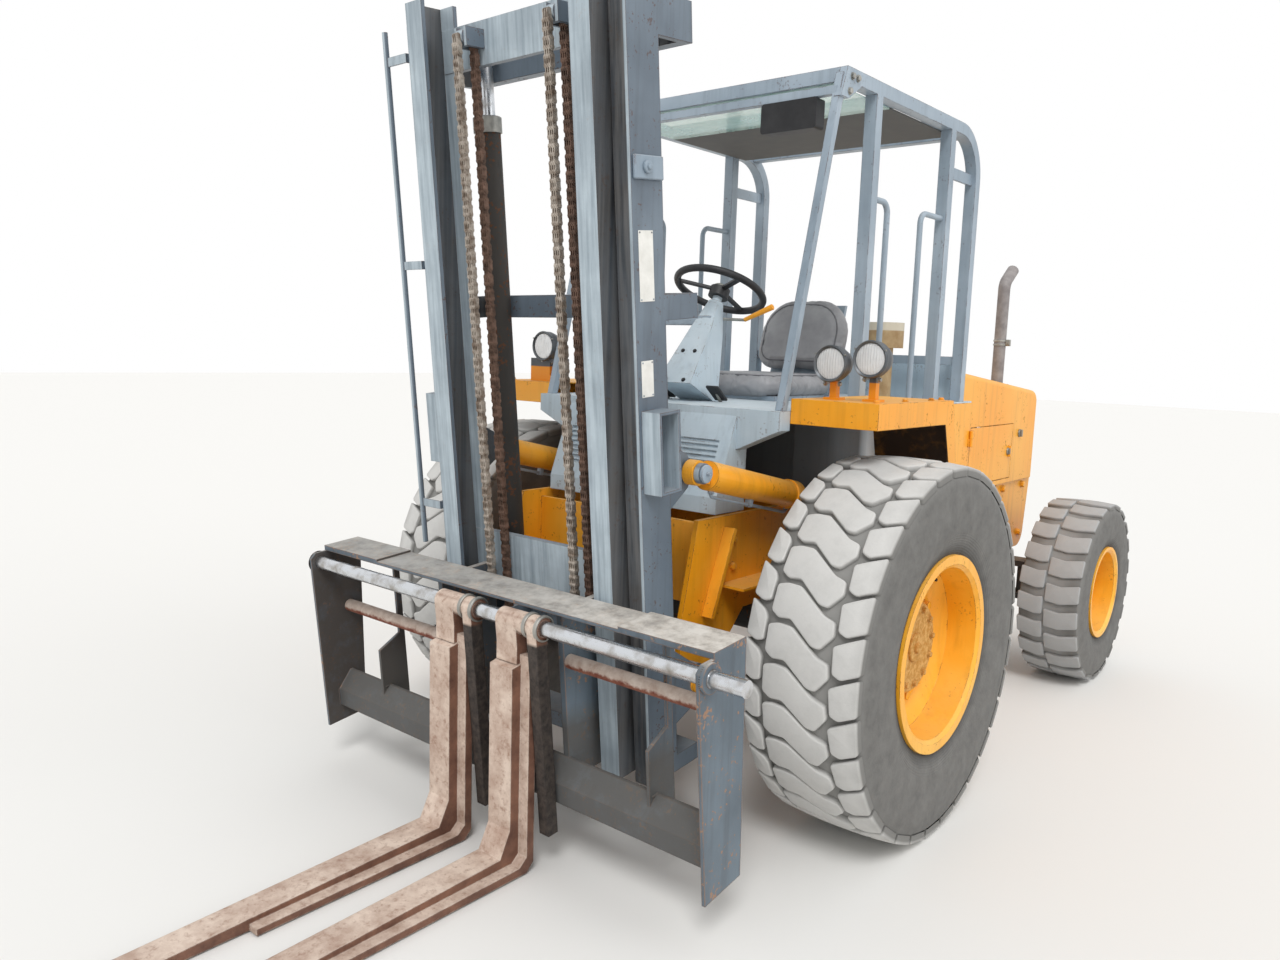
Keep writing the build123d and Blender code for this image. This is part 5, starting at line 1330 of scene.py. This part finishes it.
class FORKLIFT_OT_cab(ForkliftOperator):
    """Levers, pedals, mirror, wheel cap and bolts of the operator's place"""

    bl_idname = "forklift.cab"
    bl_label = "Cab fittings"

    def levers(self, grey, grips, metal, black):
        """A bar out to the right of the column with three short levers, a gauge, and the drive lever."""
        bar_z, bar_y = 1.826, axle_y + 0.055
        low, high = (-0.40, bar_y - 0.02, bar_z - 0.02), (0.03, bar_y + 0.02, bar_z + 0.02)
        block(grey, low, high, None, 0.004)
        low, high = (-0.40, bar_y - 0.018, deck_z + 0.001), (-0.36, bar_y + 0.018, bar_z - 0.018)
        block(grey, low, high, None, 0.004)
        for lever_x in (-0.205, -0.165, -0.125):
            foot = Vector((lever_x, bar_y, bar_z + 0.018))
            tip = foot + Vector((0, 0.008, 0.04))
            rod(metal, foot, tip, 0.004, 10)
            rod(grips, tip - Z * 0.004, tip + Z * 0.022, 0.0135, 16, 0.0115, bevel=0.003)
        drive_y = axle_y + 0.124
        elbow = Vector((0.14, drive_y, 1.832))
        rod(metal, (0.03, drive_y - 0.009, 1.835), elbow, 0.006, 12)
        rod(grips, elbow - X * 0.004, (0.27, drive_y, 1.885), 0.0085, 14, 0.0125, bevel=0.003)
        gauge = Vector((-0.30, bar_y + 0.02, bar_z))
        lathe(black, gauge, Y, ((0.0, 0.019), (0.012, 0.019), (0.014, 0.016), (0.010, 0.015), (0.010, 0.0)))

    def wheel_cap(self):
        """Bright domed cap on the steering wheel's hub."""
        turning = joints["steering_turn"]
        axis = Vector(turning["axis"]).normalized()
        cap = bmesh.new()
        hub = meet("steering_wheel", Vector(turning["pos_m"]) + axis * 0.4, -axis)
        lathe(cap, hub, axis, ((0.0, 0.034), (0.004, 0.034), (0.012, 0.028), (0.014, 0.020), (0.014, 0.0)))
        piece("wheel_cap", cap, "zinc", "steering", smooth=40)

    def pedals(self, metal, black):
        """Ridged pads on stalks through the floor, ahead of the seat."""
        for pedal_x, width in ((-0.24, 0.07), (-0.14, 0.07), (0.13, 0.06)):
            foot = Vector((pedal_x, axle_y - 0.01, deck_z - 0.001))
            pad = foot + Vector((0, -0.03, 0.036))
            rod(metal, foot, pad, 0.007, 12)
            place = Matrix.Translation(pad) @ Matrix.Rotation(math.radians(-38), 4, "X")
            half = width / 2
            block(black, (-half, -0.045, -0.005), (half, 0.045, 0.005), place, 0.003)
            half -= 0.006
            for ridge in (-0.036, -0.018, 0.0, 0.018, 0.036):
                block(black, (-half, ridge - 0.003, 0.004), (half, ridge + 0.003, 0.008), place)

    def canopy_bolts(self, grey, metal):
        """Bolts at the canopy's front corners, and a bead of weld at each post's foot."""
        roof_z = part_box("canopy_frame")[1].z
        for side in (1, -1):
            out = X * side
            for behind, down in ((0.065, 0.03), (0.105, 0.03), (0.05, 0.085)):
                spot = (side * far_out, axle_y + behind, roof_z - down)
                hex_bolt(metal, meet("canopy_frame", spot, -out), out, 0.019, 0.008)
            for post in (0.29, 0.99):
                foot = Vector((side * 0.6005, axle_y + post, deck_z + 0.001))
                weld_bead(grey, foot - Y * 0.026, foot + Y * 0.026)

    def execute(self, context):
        grey, grips, metal, black, glass = bmesh.new(), bmesh.new(), bmesh.new(), bmesh.new(), bmesh.new()
        self.levers(grey, grips, metal, black)
        self.wheel_cap()
        self.pedals(metal, black)
        self.canopy_bolts(grey, metal)

        # Dark screws in the console's sloping face
        slope = Vector((0, -0.79, 0.61))
        for across, up in ((0.03, 1.70), (-0.03, 1.70), (0.045, 1.585), (-0.045, 1.585)):
            hex_bolt(black, meet("steering_column", (across, axle_y - 0.6, up), Y), slope, 0.012, 0.004)

        low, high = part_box("mirror_box")
        rim = 0.013
        block(glass, (low.x + rim, high.y - 0.007, low.z + rim), (high.x - rim, high.y - 0.004, high.z - rim))
        piece("mirror_face", glass, "mirror", "machine")
        piece("lever_bar", grey, "cab", "machine", smooth=30)
        piece("lever_grips", grips, "yellow", "machine", smooth=40)
        piece("cab_bolts", metal, "zinc", "machine", smooth=30)
        piece("pedal_pads", black, "black", "machine", smooth=30)
        return {"FINISHED"}


class FORKLIFT_OT_hood(ForkliftOperator):
    """Latches, pulls, bolts and the exhaust's clamp on hood and chassis"""

    bl_idname = "forklift.hood"
    bl_label = "Hood fittings"

    def bar(self, bm, seat, deep, half_y, half_z, bevel):
        """Upright bar across a latch, from its seat outwards."""
        near, far = sorted((seat.x, seat.x + deep))
        low, high = (near, seat.y - half_y, seat.z - half_z), (far, seat.y + half_y, seat.z + half_z)
        block(bm, low, high, None, bevel)

    def execute(self, context):
        metal, bolts = bmesh.new(), bmesh.new()
        # node, side to side size and height of its bolts, and where they are: along, up
        rows = (
            ("counterweight", 0.03, 0.015, ((1.95, 0.72), (2.25, 0.72), (1.95, 1.0), (2.25, 1.0))),
            ("chassis_frame", 0.024, 0.011, ((-0.52, 0.93), (-0.52, 1.03), (0.10, 0.93), (0.10, 1.03))),
        )
        fender_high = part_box("fenders")[1]
        pull_profile = ((0.0, 0.02), (0.005, 0.02), (0.007, 0.018), (0.007, 0.0))
        for side, name in left_right:
            out = X * side
            # Over-centre latch behind the door, and the door's own pull
            seat = meet("hood", (side * far_out, 2.087, 1.302), -out)
            rod(metal, seat, seat + out * 0.008, 0.022, 28, bevel=0.002)
            self.bar(metal, seat, side * 0.02, 0.006, 0.02, 0.003)
            pull = bmesh.new()
            grip = meet("hood_door_" + name, (side * far_out, 1.93, 1.21), -out)
            lathe(pull, grip, out, pull_profile, 28)
            self.bar(pull, grip, side * 0.016, 0.004, 0.016, 0.002)
            piece("door_pull_" + name, pull, "zinc", "door_" + name, smooth=30)
            for behind in (-0.19, 0.03, 0.25, 0.34):
                spot = (side * (fender_high.x - 0.035), axle_y + behind, fender_high.z + 0.3)
                hex_bolt(bolts, meet("fenders", spot, -Z), Z, 0.017, 0.007)
            for node, across, tall, spots in rows:
                for y, z in spots:
                    hex_bolt(bolts, meet(node, (side * far_out, y, z), -out), out, across, tall)
        # Clamp with two bands and a lug, round the stack
        stack = Vector((0.40, 2.09625, 1.78))
        for up in (0.0, 0.022):
            lathe(metal, stack + Z * up, Z, ((0.0, 0.0325), (0.0, 0.036), (0.01, 0.036), (0.01, 0.0325)))
        block(metal, (0.434, 2.086, 1.778), (0.458, 2.106, 1.814), None, 0.002)
        piece("hood_latches", metal, "zinc", "machine", smooth=30)
        piece("body_bolts", bolts, "yellow", "machine", smooth=30)
        return {"FINISHED"}


class FORKLIFT_PT_panel(bpy.types.Panel):
    """Lists the forklift's operators and sizes"""

    bl_idname = "FORKLIFT_PT_panel"
    bl_label = "Rough terrain forklift"
    bl_space_type = "VIEW_3D"
    bl_region_type = "UI"
    bl_category = "Forklift"

    def draw(self, context):
        scene = context.scene
        for group in (scene.forklift_paint, scene.forklift_tyres, scene.forklift_chains):
            for name in group.__annotations__:
                self.layout.prop(group, name)
        for operator in operators:
            self.layout.operator(operator.bl_idname)


operators = (
    FORKLIFT_OT_stage,
    FORKLIFT_OT_finishes,
    FORKLIFT_OT_tyres,
    FORKLIFT_OT_chains,
    FORKLIFT_OT_seat,
    FORKLIFT_OT_lamps,
    FORKLIFT_OT_wheels,
    FORKLIFT_OT_mast,
    FORKLIFT_OT_carriage,
    FORKLIFT_OT_cab,
    FORKLIFT_OT_hood,
)
groups = {
    "forklift_paint": ForkliftPaint,
    "forklift_tyres": ForkliftTyres,
    "forklift_chains": ForkliftChains,
}


def register():
    for group in groups.values():
        bpy.utils.register_class(group)
    for name, group in groups.items():
        setattr(bpy.types.Scene, name, PointerProperty(type=group))
    for operator in operators:
        bpy.utils.register_class(operator)
    bpy.utils.register_class(FORKLIFT_PT_panel)


def unregister():
    bpy.utils.unregister_class(FORKLIFT_PT_panel)
    for operator in reversed(operators):
        bpy.utils.unregister_class(operator)
    for name, group in groups.items():
        delattr(bpy.types.Scene, name)
        bpy.utils.unregister_class(group)


def main():
    register()
    for operator in operators:
        module, name = operator.bl_idname.split(".")
        getattr(getattr(bpy.ops, module), name)()


if __name__ == "__main__":
    main()
